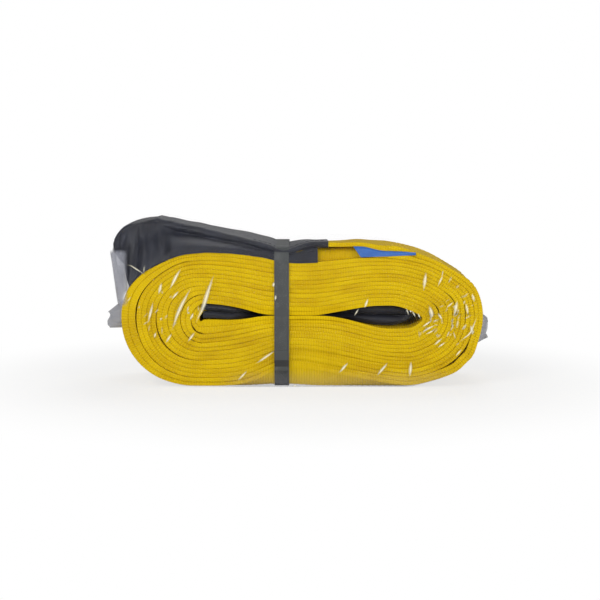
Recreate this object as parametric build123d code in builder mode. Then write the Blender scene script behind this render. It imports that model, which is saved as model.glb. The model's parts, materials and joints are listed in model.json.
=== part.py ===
"""A flat duplex webbing sling, wound into an oblong coil, strapped round its waist and sealed in clear film.

Units are millimetres. +Z is up, X runs along the coil, and Y is the winding axis, across the webbing.
The origin is the middle of the package's underside. The coil stands on its long side.

The two-ply body starts at the inner throat, under the hollow of the coil, and winds outwards
anticlockwise as seen from -Y. It ends at the outer throat, on top. At each throat it splits into the
two legs of an eye. Each eye is folded to half the webbing's width at its apex and wears a fabric
sleeve. The inner eye lies flat in the hollow, and the outer eye lies on the coil.
"""

import os
from math import acos, atan2, cos, degrees, hypot, radians, sin, tan

from build123d import *

# ---- driving dimensions ------------------------------------------------------------------------------
# webbing
webbing_width = 90.0
ply_thickness = 3.4
ply_gap = 0.10  # between the two plies of the body
turn_gap = 0.15  # between one turn and the next

# sewing thread, which stands a little out of the webbing
thread_width = 1.0
thread_height = 0.35
thread_fit = 0.05  # between the thread and the webbing under it

# coil
top_layers = 6  # layers of the body over the hollow; there is one more under it
turn_spacing = 192.5  # between the centres of the outermost left and right bends
shoulder_angle = 40.0  # degrees of each right bend, at its top and bottom, that are flatter
shoulder_growth = 30.0  # how much larger the radius is there
heel_angle = 40.0  # degrees of each left bend, at its bottom, that are flatter
heel_growth = 6.0  # how much larger the radius is there, for each turn inside the bend
left_slack = 3.2  # how much further out each left bend lies than the one inside it
hollow_fit = 0.15  # between the inner eye's sleeve and the hollow that it fills

# eyes and their sleeves
folded_width = 46.0  # the webbing folded to half its width
sleeve_wall = 0.9
sleeve_fit = 0.10  # between a sleeve and the webbing in it
leg_slit = 0.10  # between the two sleeved legs of an eye
inner_throat_run = 66.0  # from the inner throat to the fold into the hollow
inner_leg_taper = 18.0  # length in which the inner eye's legs narrow to the folded width
inner_sleeve_start = 2.0  # from there to the open end of the sleeve
rest_gap = 0.30  # between the outer eye's sleeve and the coil
outer_throat_inset = 3.5  # from the outermost right bend to the outer throat
bare_leg = 65.6  # from the outer throat to the sleeve on the lower leg
sleeve_step = 13.0  # how much nearer to the throat the sleeve reaches on the upper leg
leg_fall = 16.0  # length in which the legs come down from the sleeve to the throat's level
apex_radius = 17.5  # outside of the outer eye's webbing
shoulder_wrap_angle = 32.0  # degrees of the coil's left bend that the lower leg follows
taper_length = 76.0  # length in which the outer eye narrows to the folded width
taper_inset = 4.0  # from the outermost left bend to the end of that length
crease_to_band = 3.0  # from the band to where the upper leg starts to rise to the apex
web_thickness = 1.2  # the sleeve's slack, gathered across the outer eye

# label, sewn in between the legs at the outer throat
label_thickness = 0.6
label_fit = 0.12
label_length = 44.0
label_gap = 4.0  # from where the legs have come down to the label
label_tuck = 22.0  # how far it reaches in between the legs
label_to_throat = 8.0  # from the end of the part between the legs to the throat
label_drop_left = 9.0  # how far its left end hangs down the front
label_drop_right = 1.6

# packing band
band_x = -13.8
band_width = 12.0
band_thickness = 0.7
band_fit = 0.10
weld_z = 20.0
weld_height = 5.5
weld_thickness = 0.35

# film
film_thickness = 0.4
film_fit = 0.15
knuckle_radius = 6.0  # of the film where it turns down over the band and the sleeve's end
round_steps = 4  # in which the film goes round a flatter part of a bend
gather_z_left = 61.0
gather_z_right = 46.0
gather_root = 28.0  # height of a gathered end of the bag at the coil
gather_tip = 14.0
gather_width = 56.0
left_gather_reach = 12.0
right_gather_reach = 5.0

# stitching
seam_inset = 7.0  # from the webbing's edge to the long seams that join the plies
seam_left_angle = 36.0  # that the long seams climb round the heel of the outermost left bend
seam_right_angle = 110.0  # and round the right one
throat_rows = 5
throat_row_spacing = 15.0
throat_stitch_start_angle = 58.0  # degrees round the shoulder of the outermost right bend
throat_stitch_end_angle = 87.0
inner_row_inset = 7.0  # from the webbing's edge to the inner throat's outermost rows
inner_row_spacing = 6.0
inner_stitch_length = 45.0
sleeve_seam_inset = 8.0
sleeve_seam_end = 1.5  # from a sleeve's open end to its seam
sleeve_seam_length = 60.0

# ---- worked out from them ----------------------------------------------------------------------------
half_width = webbing_width / 2
body_thickness = 2 * ply_thickness + ply_gap
pitch = body_thickness + turn_gap
folded_thickness = 2 * ply_thickness
wall_in = sleeve_wall + sleeve_fit
leg_thickness = folded_thickness + 2 * wall_in
hollow_height = 2 * leg_thickness + leg_slit + 2 * hollow_fit
thread_room = thread_fit + thread_height

band_bottom = film_thickness + film_fit
coil_bottom = band_bottom + band_thickness + band_fit + thread_room
last = top_layers  # the outermost turn
hollow_bottom = coil_bottom + (last + 1) * pitch
hollow_top = hollow_bottom + hollow_height
hollow_middle = (hollow_bottom + hollow_top) / 2
coil_top = hollow_top + top_layers * pitch

# a right bend is three arcs: a flatter shoulder, the middle, and a flatter heel
shoulder_rise = shoulder_growth * cos(radians(shoulder_angle))
shoulder_cut = shoulder_growth - shoulder_rise
shoulder_z = hollow_middle - shoulder_rise
right_heel_z = hollow_middle + shoulder_rise
coil_right_radius = hollow_middle - coil_bottom - turn_gap / 2 - shoulder_cut
coil_shoulder_radius = coil_right_radius + shoulder_growth

# a left bend is two arcs: the upper one, and a heel that is flatter the further out it lies
coil_heel_growth = (last - 1) * heel_growth  # of the outermost left bend
coil_heel_rise = coil_heel_growth * cos(radians(heel_angle))
coil_left_z = hollow_middle + (coil_heel_growth - coil_heel_rise - pitch) / 2
coil_heel_z = coil_left_z + coil_heel_rise
coil_heel_radius = coil_heel_z - coil_bottom - turn_gap / 2
coil_left_radius = coil_heel_radius - coil_heel_growth

# inside of the film round the ends
film_heel_radius = coil_heel_z - film_thickness
film_left_radius = film_heel_radius - coil_heel_growth
film_shoulder_radius = right_heel_z - film_thickness
film_right_radius = film_shoulder_radius - shoulder_growth

# the origin is in the middle between the two gathered ends of the film
left_reach = film_left_radius + left_gather_reach
right_reach = film_right_radius + right_gather_reach
turn_middle_x = (left_reach - right_reach) / 2
left_turn_x = turn_middle_x - turn_spacing / 2
right_turn_x = turn_middle_x + turn_spacing / 2
shoulder_x = right_turn_x - shoulder_growth * sin(radians(shoulder_angle))
coil_heel_x = left_turn_x + coil_heel_growth * sin(radians(heel_angle))
fold_x = left_turn_x + (last - 1) * left_slack  # the fold from the inner throat up into the hollow

sleeve_half = half_width + wall_in
folded_sleeve_half = folded_width / 2 + wall_in
band_inner_y = sleeve_half + band_fit
band_outer_y = band_inner_y + band_thickness
film_inner_y = band_outer_y + weld_thickness + film_fit


def bottom_run_z(layer):
    """Height of the body's middle in a layer under the hollow, counted from the hollow outwards."""
    return hollow_bottom - (layer + 0.5) * pitch


def top_run_z(layer):
    """Height of the body's middle in a layer over the hollow, counted from the hollow outwards."""
    return hollow_top + (layer + 0.5) * pitch


def left_bend_x(layer):
    """Centre of the bend from top run `layer` down to the next bottom run."""
    return left_turn_x + (last - 1 - layer) * left_slack


def bend(x, z_one, z_other, out, start):
    """Half circle between two runs, its centre at x, moved outwards by `out`."""
    CenterArc((x, (z_one + z_other) / 2), abs(z_one - z_other) / 2 + out, start, 180)


def left_run_x(layer):
    """Where the heel of that bend ends and the bottom run starts."""
    return left_bend_x(layer) + layer * heel_growth * sin(radians(heel_angle))


def left_bend(layer, out):
    """From top run `layer` round the left end to the next bottom run, moved outwards by `out`."""
    growth = layer * heel_growth
    rise = growth * cos(radians(heel_angle))
    top = top_run_z(layer)
    z = (top + bottom_run_z(layer + 1) + growth - rise) / 2
    radius = top - z + out
    CenterArc((left_bend_x(layer), z), radius, 90, 180 - heel_angle)
    CenterArc((left_run_x(layer), z + rise), radius + growth, 270 - heel_angle, heel_angle)


def right_bend(bottom, top, out):
    """From a bottom run round the right end to the top run, moved outwards by `out`."""
    radius = (top - bottom) / 2 - shoulder_cut + out
    middle_turn = 180 - 2 * shoulder_angle
    CenterArc((shoulder_x, right_heel_z), radius + shoulder_growth, -90, shoulder_angle)
    CenterArc((right_turn_x, hollow_middle), radius, -90 + shoulder_angle, middle_turn)
    CenterArc((shoulder_x, shoulder_z), radius + shoulder_growth, 90 - shoulder_angle, shoulder_angle)


# ---- the body's two plies ----------------------------------------------------------------------------
inner_throat_x = fold_x + inner_throat_run
outer_throat_x = shoulder_x - outer_throat_inset
ply_near = ply_gap / 2
ply_far = ply_near + ply_thickness


def body_edges(out):
    """The body's middle line from the inner throat to the outer one, moved outwards by `out`."""
    for layer in range(last + 1):
        bottom = bottom_run_z(layer)
        top = top_run_z(layer)
        start = inner_throat_x
        if layer > 0:
            start = left_run_x(layer - 1)
            left_bend(layer - 1, out)
        Line((start, bottom - out), (shoulder_x, bottom - out))
        right_bend(bottom, top, out)
        end = outer_throat_x if layer == last else left_bend_x(layer)
        Line((shoulder_x, top + out), (end, top + out))


def ply_outline(near, far):
    """Closed outline of a strip between two distances from the body's middle line."""
    body_edges(near)
    body_edges(far)
    for x, z, side in ((inner_throat_x, bottom_run_z(0), -1), (outer_throat_x, top_run_z(last), 1)):
        Line((x, z + side * near), (x, z + side * far))


with BuildPart() as body_outer_ply:
    with BuildSketch(Plane.XZ):
        with BuildLine():
            ply_outline(ply_near, ply_far)
        make_face()
    extrude(amount=half_width, both=True)
body_outer_ply.part.label = "body_outer_ply"

with BuildPart() as body_inner_ply:
    with BuildSketch(Plane.XZ):
        with BuildLine():
            ply_outline(-ply_near, -ply_far)
        make_face()
    extrude(amount=half_width, both=True)
body_inner_ply.part.label = "body_inner_ply"

# ---- inner eye: folded flat in the hollow ------------------------------------------------------------
eye_near = leg_slit / 2 + wall_in  # from the eye's middle to its webbing
eye_far = eye_near + folded_thickness
inner_flare_x = fold_x + inner_leg_taper
inner_sleeve_x = inner_flare_x + inner_sleeve_start
inner_apex_x = shoulder_x  # the hollow is full height up to there


def fold_edges(out):
    """Middle line of the legs from the inner throat round the fold into the hollow, moved by `out`."""
    Line((inner_throat_x, bottom_run_z(0) - out), (fold_x, bottom_run_z(0) - out))
    bend(fold_x, hollow_middle, bottom_run_z(0), out, 90)


def fold_outline(side):
    """One leg round the fold: side is 1 for the outer leg and -1 for the inner one."""
    near = side * ply_near
    far = side * ply_far
    fold_edges(near)
    fold_edges(far)
    Line((inner_throat_x, bottom_run_z(0) - near), (inner_throat_x, bottom_run_z(0) - far))
    Line((fold_x, hollow_middle + near), (fold_x, hollow_middle + far))


def leg_outline(side):
    """One leg in the hollow: side is 1 for the upper leg and -1 for the lower one."""
    Polyline(
        (fold_x, hollow_middle + side * ply_near),
        (inner_flare_x, hollow_middle + side * eye_near),
        (inner_apex_x, hollow_middle + side * eye_near),
        (inner_apex_x, hollow_middle + side * eye_far),
        (inner_flare_x, hollow_middle + side * eye_far),
        (fold_x, hollow_middle + side * ply_far),
        close=True,
    )


with BuildPart() as inner_eye_webbing:
    with BuildSketch(Plane.XZ):
        for side in (1, -1):
            with BuildLine():
                fold_outline(side)
            make_face()
            with BuildLine():
                leg_outline(side)
            make_face()
        with BuildLine():
            CenterArc((inner_apex_x, hollow_middle), eye_far, -90, 180)
            CenterArc((inner_apex_x, hollow_middle), eye_near, -90, 180)
            for side in (1, -1):
                near = hollow_middle + side * eye_near
                far = hollow_middle + side * eye_far
                Line((inner_apex_x, near), (inner_apex_x, far))
        make_face()
    extrude(amount=half_width, both=True)
    # in the hollow the legs narrow to the folded width
    with BuildSketch(Plane.XY.offset(hollow_bottom)):
        for side in (1, -1):
            with BuildLine():
                Polyline(
                    (fold_x, side * half_width),
                    (inner_flare_x, side * folded_width / 2),
                    (inner_apex_x + eye_far, side * folded_width / 2),
                    (inner_apex_x + eye_far, side * half_width),
                    close=True,
                )
            make_face()
    extrude(amount=hollow_height, mode=Mode.SUBTRACT)
inner_eye_webbing.part.label = "inner_eye_webbing"

leg_far = eye_far + wall_in
inner_sleeve_length = inner_apex_x - inner_sleeve_x
inner_sleeve_middle = (inner_apex_x + inner_sleeve_x) / 2

with BuildPart() as inner_eye_sleeve:
    # outside of the two sleeved legs and their apex
    with BuildSketch(Plane.XZ):
        with Locations((inner_sleeve_middle, hollow_middle)):
            Rectangle(inner_sleeve_length, 2 * leg_far)
        with Locations((inner_apex_x, hollow_middle)):
            Circle(leg_far)
    extrude(amount=folded_sleeve_half, both=True)
    # the room for the webbing inside it
    with BuildSketch(Plane.XZ):
        with Locations((inner_sleeve_middle, hollow_middle)):
            Rectangle(inner_sleeve_length, 2 * (eye_far + sleeve_fit))
        with Locations((inner_apex_x, hollow_middle)):
            Circle(eye_far + sleeve_fit)
        with Locations((inner_sleeve_middle, hollow_middle)):
            Rectangle(inner_sleeve_length, 2 * (eye_near - sleeve_fit), mode=Mode.SUBTRACT)
        with Locations((inner_apex_x, hollow_middle)):
            Circle(eye_near - sleeve_fit, mode=Mode.SUBTRACT)
    extrude(amount=folded_width / 2 + sleeve_fit, both=True, mode=Mode.SUBTRACT)
    # the slit between the legs
    with BuildSketch(Plane.XZ):
        with Locations((inner_sleeve_middle, hollow_middle)):
            Rectangle(inner_sleeve_length, leg_slit)
    extrude(amount=folded_sleeve_half, both=True, mode=Mode.SUBTRACT)
inner_eye_sleeve.part.label = "inner_eye_sleeve"

# ---- outer eye: lies on the coil, its apex standing up as an open bend --------------------------------
sleeve_bottom = coil_top + rest_gap
leg_bottom = sleeve_bottom + wall_in  # underside of the lower leg in its sleeve
leg_top = leg_bottom + 2 * ply_thickness + 2 * wall_in + leg_slit  # upper side of the upper leg
shoulder_radius = leg_bottom - coil_left_z

apex_distance = shoulder_radius + apex_radius
apex_x = left_turn_x - apex_distance * sin(radians(shoulder_wrap_angle))
apex_z = coil_left_z + apex_distance * cos(radians(shoulder_wrap_angle))
crease_x = band_x - band_width / 2 - crease_to_band

# from the crease the upper leg rises to the apex as a tangent of its bend
crease_distance = hypot(crease_x - apex_x, leg_top - apex_z)
crease_angle = degrees(atan2(leg_top - apex_z, crease_x - apex_x))
tangent_angle = crease_angle + degrees(acos(apex_radius / crease_distance))
upper_slope = 90 - tangent_angle
apex_turn = 270 + shoulder_wrap_angle - tangent_angle

taper_end_x = left_turn_x + taper_inset
taper_start_x = taper_end_x + taper_length
sleeve_lower_x = outer_throat_x - bare_leg
sleeve_upper_x = sleeve_lower_x + sleeve_step
leg_level_x = sleeve_upper_x + leg_fall


def apex_point(radius):
    """Where a bend of this radius at the apex meets the upper leg."""
    x = apex_x + radius * cos(radians(tangent_angle))
    z = apex_z + radius * sin(radians(tangent_angle))
    return (x, z)


def eye_outside(out):
    """Outline of the outer eye's outer face, moved outwards by `out` and closed at the sleeve's end."""
    Line((sleeve_upper_x, leg_bottom - out), (left_turn_x, leg_bottom - out))
    CenterArc((left_turn_x, coil_left_z), shoulder_radius - out, 90, shoulder_wrap_angle)
    CenterArc((apex_x, apex_z), apex_radius + out, tangent_angle, apex_turn)
    Polyline(
        apex_point(apex_radius + out),
        (crease_x + out * tan(radians(upper_slope / 2)), leg_top + out),
        (sleeve_upper_x, leg_top + out),
        (sleeve_upper_x, leg_bottom - out),
    )


def eye_inside(inset):
    """Outline of the hole in the outer eye, drawn in by `inset` and closed at the sleeve's end."""
    bend_radius = apex_radius - folded_thickness - inset
    low = leg_bottom + ply_thickness + inset
    folded_low = leg_bottom + folded_thickness + inset
    high = leg_top - ply_thickness - inset
    Polyline(
        (sleeve_upper_x, low),
        (taper_start_x, low),
        (taper_end_x, folded_low),
        (left_turn_x, folded_low),
    )
    CenterArc((left_turn_x, coil_left_z), folded_low - coil_left_z, 90, shoulder_wrap_angle)
    CenterArc((apex_x, apex_z), bend_radius, tangent_angle, apex_turn)
    Polyline(
        apex_point(bend_radius),
        (crease_x, high),
        (sleeve_upper_x, high),
        (sleeve_upper_x, low),
    )


def eye_plan(grow, end_x):
    """Plan of the outer eye, grown by `grow`: full width at its open end and folded at its apex."""
    half = half_width + grow
    narrow = folded_width / 2 + grow
    tip_x = apex_x - 2 * apex_radius
    Polyline(
        (end_x, half),
        (taper_start_x, half),
        (taper_end_x, narrow),
        (tip_x, narrow),
        (tip_x, -narrow),
        (taper_end_x, -narrow),
        (taper_start_x, -half),
        (end_x, -half),
        close=True,
    )


plan_height = 2 * coil_top
lower_leg_z = top_run_z(last) - ply_far  # underside of the lower leg at the throat
upper_leg_z = top_run_z(last) + ply_near  # underside of the upper leg at the throat
label_room = label_thickness + 2 * label_fit - ply_gap  # how far the upper leg is lifted by the label
label_left_x = leg_level_x + label_gap
label_right_x = label_left_x + label_length
tuck_right_x = outer_throat_x - label_to_throat


def bare_leg(*points):
    """A leg between the throat and the sleeve, from the points (x, height) of its underside."""
    upper = [(x, z + ply_thickness) for x, z in reversed(points)]
    Polyline(*points, *upper, close=True)


with BuildPart() as outer_eye_webbing:
    with BuildSketch(Plane.XZ):
        with BuildLine():
            eye_outside(0)
        make_face()
        with BuildLine():
            eye_inside(0)
        make_face(mode=Mode.SUBTRACT)
        with BuildLine():
            bare_leg(
                (sleeve_upper_x, leg_bottom),
                (leg_level_x, lower_leg_z),
                (outer_throat_x, lower_leg_z),
            )
        make_face()
        with BuildLine():
            bare_leg(
                (sleeve_upper_x, leg_top - ply_thickness),
                (leg_level_x, upper_leg_z + label_room),
                (tuck_right_x + label_gap, upper_leg_z + label_room),
                (outer_throat_x, upper_leg_z),
            )
        make_face()
    extrude(amount=half_width, both=True)
    with BuildSketch(Plane.XY):
        with BuildLine():
            eye_plan(0, outer_throat_x)
        make_face()
    extrude(amount=plan_height, mode=Mode.INTERSECT)
outer_eye_webbing.part.label = "outer_eye_webbing"

# the room in the sleeve for the webbing
with BuildPart() as webbing_room:
    with BuildSketch(Plane.XZ):
        with BuildLine():
            eye_outside(sleeve_fit)
        make_face()
        with BuildLine():
            eye_inside(sleeve_fit)
        make_face(mode=Mode.SUBTRACT)
    extrude(amount=half_width + sleeve_fit, both=True)
    with BuildSketch(Plane.XY):
        with BuildLine():
            eye_plan(sleeve_fit, sleeve_upper_x)
        make_face()
    extrude(amount=plan_height, mode=Mode.INTERSECT)

with BuildPart() as outer_eye_sleeve:
    with BuildSketch(Plane.XZ):
        with BuildLine():
            eye_outside(wall_in)
        make_face()
    extrude(amount=sleeve_half, both=True)
    with BuildSketch(Plane.XY):
        with BuildLine():
            eye_plan(wall_in, sleeve_upper_x)
        make_face()
    extrude(amount=plan_height, mode=Mode.INTERSECT)
    # the eye's opening, but for the slack of the sleeve that is gathered across it
    for side in (1, -1):
        with BuildSketch(Plane.XZ.offset(side * web_thickness / 2)):
            with BuildLine():
                eye_inside(wall_in)
            make_face()
        extrude(amount=side * sleeve_half, mode=Mode.SUBTRACT)
    # the sleeve is shorter on the lower leg
    with BuildSketch(Plane.XZ):
        with Locations(((sleeve_lower_x + sleeve_upper_x) / 2, (leg_bottom + leg_top) / 2)):
            Rectangle(sleeve_step, leg_top - leg_bottom, align=(Align.CENTER, Align.MAX))
            Rectangle(sleeve_step, leg_slit)
    extrude(amount=sleeve_half, both=True, mode=Mode.SUBTRACT)
    add(webbing_room.part, mode=Mode.SUBTRACT)
outer_eye_sleeve.part.label = "outer_eye_sleeve"

# ---- label -------------------------------------------------------------------------------------------
label_z = lower_leg_z + ply_thickness + label_fit
label_face = half_width + label_fit

with BuildPart() as identification_label:
    # the part that is tucked in between the legs
    with BuildSketch(Plane.XY.offset(label_z)):
        with Locations(((label_left_x + tuck_right_x) / 2, -label_face)):
            Rectangle(tuck_right_x - label_left_x, label_tuck, align=(Align.CENTER, Align.MIN))
    extrude(amount=label_thickness)
    # the part that hangs down the front
    with BuildSketch(Plane.XZ.offset(label_face)):
        with BuildLine():
            Polyline(
                (label_left_x, label_z + label_thickness),
                (label_right_x, label_z + label_thickness),
                (label_right_x, label_z - label_drop_right),
                (label_left_x, label_z - label_drop_left),
                close=True,
            )
        make_face()
    extrude(amount=label_thickness)
identification_label.part.label = "identification_label"

# ---- stitching ---------------------------------------------------------------------------------------
heel_thread_radius = coil_heel_radius + thread_fit  # underside of a thread on the left heel
right_thread_radius = coil_right_radius + thread_fit
shoulder_thread_radius = coil_shoulder_radius + thread_fit
throat_stitch_turn = throat_stitch_end_angle - throat_stitch_start_angle


def radial_line(x, z, angle, radius):
    """Line through a thread's height, at an angle round a bend whose centre is (x, z)."""
    far = radius + thread_height
    across = cos(radians(angle))
    up = sin(radians(angle))
    Line((x + radius * across, z + radius * up), (x + far * across, z + far * up))


def seam_edges(out):
    """A long seam's line, from the left heel round the coil's underside, moved outwards by `out`."""
    underside = coil_heel_z - heel_thread_radius - out
    middle_turn = seam_right_angle - shoulder_angle
    CenterArc(
        (coil_heel_x, coil_heel_z), heel_thread_radius + out, 270 - seam_left_angle, seam_left_angle
    )
    Line((coil_heel_x, underside), (shoulder_x, underside))
    CenterArc((shoulder_x, right_heel_z), shoulder_thread_radius + out, -90, shoulder_angle)
    CenterArc(
        (right_turn_x, hollow_middle), right_thread_radius + out, -90 + shoulder_angle, middle_turn
    )


with BuildPart() as body_seams:
    for y in (seam_inset - half_width, half_width - seam_inset):
        with BuildSketch(Plane.XZ.offset(-y)):
            with BuildLine():
                seam_edges(0)
                seam_edges(thread_height)
                radial_line(coil_heel_x, coil_heel_z, 270 - seam_left_angle, heel_thread_radius)
                radial_line(right_turn_x, hollow_middle, seam_right_angle - 90, right_thread_radius)
            make_face()
        extrude(amount=thread_width / 2, both=True)
body_seams.part.label = "body_seams"

with BuildPart() as outer_throat_stitching:
    for row in range(throat_rows):
        y = (row - (throat_rows - 1) / 2) * throat_row_spacing
        with BuildSketch(Plane.XZ.offset(-y)):
            with BuildLine():
                for radius in (shoulder_thread_radius, shoulder_thread_radius + thread_height):
                    CenterArc(
                        (shoulder_x, shoulder_z),
                        radius,
                        throat_stitch_start_angle,
                        throat_stitch_turn,
                    )
                for angle in (throat_stitch_start_angle, throat_stitch_end_angle):
                    radial_line(shoulder_x, shoulder_z, angle, shoulder_thread_radius)
            make_face()
        extrude(amount=thread_width / 2, both=True)
outer_throat_stitching.part.label = "outer_throat_stitching"

with BuildPart() as inner_throat_stitching:
    with BuildSketch(Plane.XY.offset(hollow_bottom + thread_fit)):
        for side in (1, -1):
            for row in range(2):
                y = side * (half_width - inner_row_inset - row * inner_row_spacing)
                with Locations((inner_throat_x, y)):
                    Rectangle(
                        inner_stitch_length, thread_width, align=(Align.MIN, Align.CENTER)
                    )
    extrude(amount=thread_height)
inner_throat_stitching.part.label = "inner_throat_stitching"

sleeve_seam_x = sleeve_upper_x - sleeve_seam_end
sleeve_seam_near = wall_in + thread_fit
sleeve_seam_far = sleeve_seam_near + thread_height


def sleeve_line(out, end_x):
    """The upper leg's upper side from its crease to end_x, moved upwards by `out`."""
    return [(crease_x + out * tan(radians(upper_slope / 2)), leg_top + out), (end_x, leg_top + out)]


with BuildPart() as outer_sleeve_seam:
    with BuildSketch(Plane.XZ.offset(sleeve_seam_inset - half_width)):
        with BuildLine():
            Polyline(
                *sleeve_line(sleeve_seam_near, sleeve_seam_x),
                *reversed(sleeve_line(sleeve_seam_far, sleeve_seam_x)),
                close=True,
            )
        make_face()
    extrude(amount=thread_width / 2, both=True)
outer_sleeve_seam.part.label = "outer_sleeve_seam"

with BuildPart() as inner_sleeve_seam:
    with BuildSketch(Plane.XZ.offset(-folded_sleeve_half - thread_fit)):
        with Locations((inner_sleeve_x + sleeve_seam_end, hollow_middle + (eye_near + eye_far) / 2)):
            Rectangle(sleeve_seam_length, thread_width, align=(Align.MIN, Align.CENTER))
    extrude(amount=-thread_height)
inner_sleeve_seam.part.label = "inner_sleeve_seam"

# ---- packing band ------------------------------------------------------------------------------------
band_top = leg_top + sleeve_seam_far + band_fit + band_thickness
band_height = band_top - band_bottom

with BuildPart() as packing_band:
    with BuildSketch(Plane.YZ.offset(band_x)):
        with Locations((0, (band_bottom + band_top) / 2)):
            RectangleRounded(2 * band_outer_y, band_height, band_thickness)
            Rectangle(2 * band_inner_y, band_height - 2 * band_thickness, mode=Mode.SUBTRACT)
    extrude(amount=band_width / 2, both=True)
    # where the strap's ends lie on each other and are welded
    with BuildSketch(Plane.XZ.offset(band_outer_y)):
        with Locations((band_x, weld_z)):
            Rectangle(band_width, weld_height)
    extrude(amount=weld_thickness)
packing_band.part.label = "packing_band"

# ---- film --------------------------------------------------------------------------------------------
left_round = (left_turn_x, coil_left_z, film_left_radius)
right_round = (right_turn_x, hollow_middle, film_right_radius)
apex_round = (apex_x, apex_z, apex_radius + wall_in + film_fit)
knuckle_z = band_top + film_fit - knuckle_radius
band_knuckle = (band_x - band_width / 2, knuckle_z, knuckle_radius)
sleeve_knuckle = (sleeve_upper_x, knuckle_z, knuckle_radius)


def touching_rounds(x, z, radius, start, turn):
    """Circles of half the radius that touch a large arc of the film from inside."""
    rounds = []
    for step in range(round_steps + 1):
        angle = radians(start + turn * step / round_steps)
        rounds.append((x + radius / 2 * cos(angle), z + radius / 2 * sin(angle), radius / 2))
    return rounds


shoulder_rounds = touching_rounds(
    shoulder_x, shoulder_z, film_shoulder_radius, 90 - shoulder_angle, shoulder_angle
)
right_heel_rounds = touching_rounds(
    shoulder_x, right_heel_z, film_shoulder_radius, -90, shoulder_angle
)
left_heel_rounds = touching_rounds(
    coil_heel_x, coil_heel_z, film_heel_radius, 270 - heel_angle, heel_angle
)


def film_profile(grow, mode=Mode.ADD):
    """The taut film's outline as seen from the front, its inside moved outwards by `grow`."""
    for rounds in (
        (left_round, *left_heel_rounds, *right_heel_rounds, right_round),
        (left_round, apex_round, band_knuckle, sleeve_knuckle),
        (band_knuckle, sleeve_knuckle, *shoulder_rounds, right_round),
    ):
        make_hull([Edge.make_circle(r + grow, Plane((x, z, 0))) for x, z, r in rounds], mode)


with BuildPart() as film_wrap:
    with BuildSketch(Plane.XZ):
        film_profile(film_thickness)
    extrude(amount=film_inner_y + film_thickness, both=True)
    with BuildSketch(Plane.XZ):
        film_profile(0)
    extrude(amount=film_inner_y, both=True, mode=Mode.SUBTRACT)
film_wrap.part.label = "film_wrap"

film_left_x = left_turn_x - left_round[2] - film_thickness
film_right_x = right_turn_x + right_round[2] + film_thickness


def gather_outline(root_x, tip_x, z):
    """Outline of a gathered end of the bag, from its root to its tip."""
    Polyline(
        (root_x, z - gather_root / 2),
        (root_x, z + gather_root / 2),
        (tip_x, z + gather_tip / 2),
        (tip_x, z - gather_tip / 2),
        close=True,
    )


gather_depth = gather_root / 2  # enough for the root to reach the film's round end
film_clear = film_thickness + film_fit  # from the film's inside to a gathered end's root

with BuildPart() as film_left_gather:
    with BuildSketch(Plane.XZ):
        with BuildLine():
            gather_outline(film_left_x + gather_depth, film_left_x - left_gather_reach, gather_z_left)
        make_face()
        film_profile(film_clear, Mode.SUBTRACT)
    extrude(amount=gather_width / 2, both=True)
film_left_gather.part.label = "film_left_gather"

with BuildPart() as film_right_gather:
    with BuildSketch(Plane.XZ):
        with BuildLine():
            gather_outline(film_right_x - gather_depth, film_right_x + right_gather_reach, gather_z_right)
        make_face()
        film_profile(film_clear, Mode.SUBTRACT)
    extrude(amount=gather_width / 2, both=True)
film_right_gather.part.label = "film_right_gather"

# ---- written out -------------------------------------------------------------------------------------
pieces = (
    body_outer_ply,
    body_inner_ply,
    inner_eye_webbing,
    inner_eye_sleeve,
    outer_eye_webbing,
    outer_eye_sleeve,
    identification_label,
    body_seams,
    outer_throat_stitching,
    inner_throat_stitching,
    outer_sleeve_seam,
    inner_sleeve_seam,
    packing_band,
    film_wrap,
    film_left_gather,
    film_right_gather,
)

os.makedirs("parts", exist_ok=True)
for piece in pieces:
    export_step(piece.part, f"parts/{piece.part.label}.step")
    print(piece.part.label, len(piece.part.solids()), "solids", round(piece.part.volume), "mm3")

wound_length = body_outer_ply.part.volume / webbing_width / ply_thickness
print("length of the body's outer ply:", round(wound_length), "mm")
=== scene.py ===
# %% [markdown]
# # A wound lifting sling, strapped and bagged
#
# The object is a flat two-ply lifting sling of yellow webbing. It is wound into an oblong coil that
# stands on its long side, strapped round its waist and sealed in clear film. Its two ends are eyes
# in black fabric sleeves. One lies in the hollow of the coil, and the other on top.
#
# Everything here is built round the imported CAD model, in the same frame. X runs along the coil, Y is
# the winding axis, and Z is up. The front is at -Y.

import json
import math

import bpy
import numpy as np
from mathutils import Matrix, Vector, noise

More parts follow.
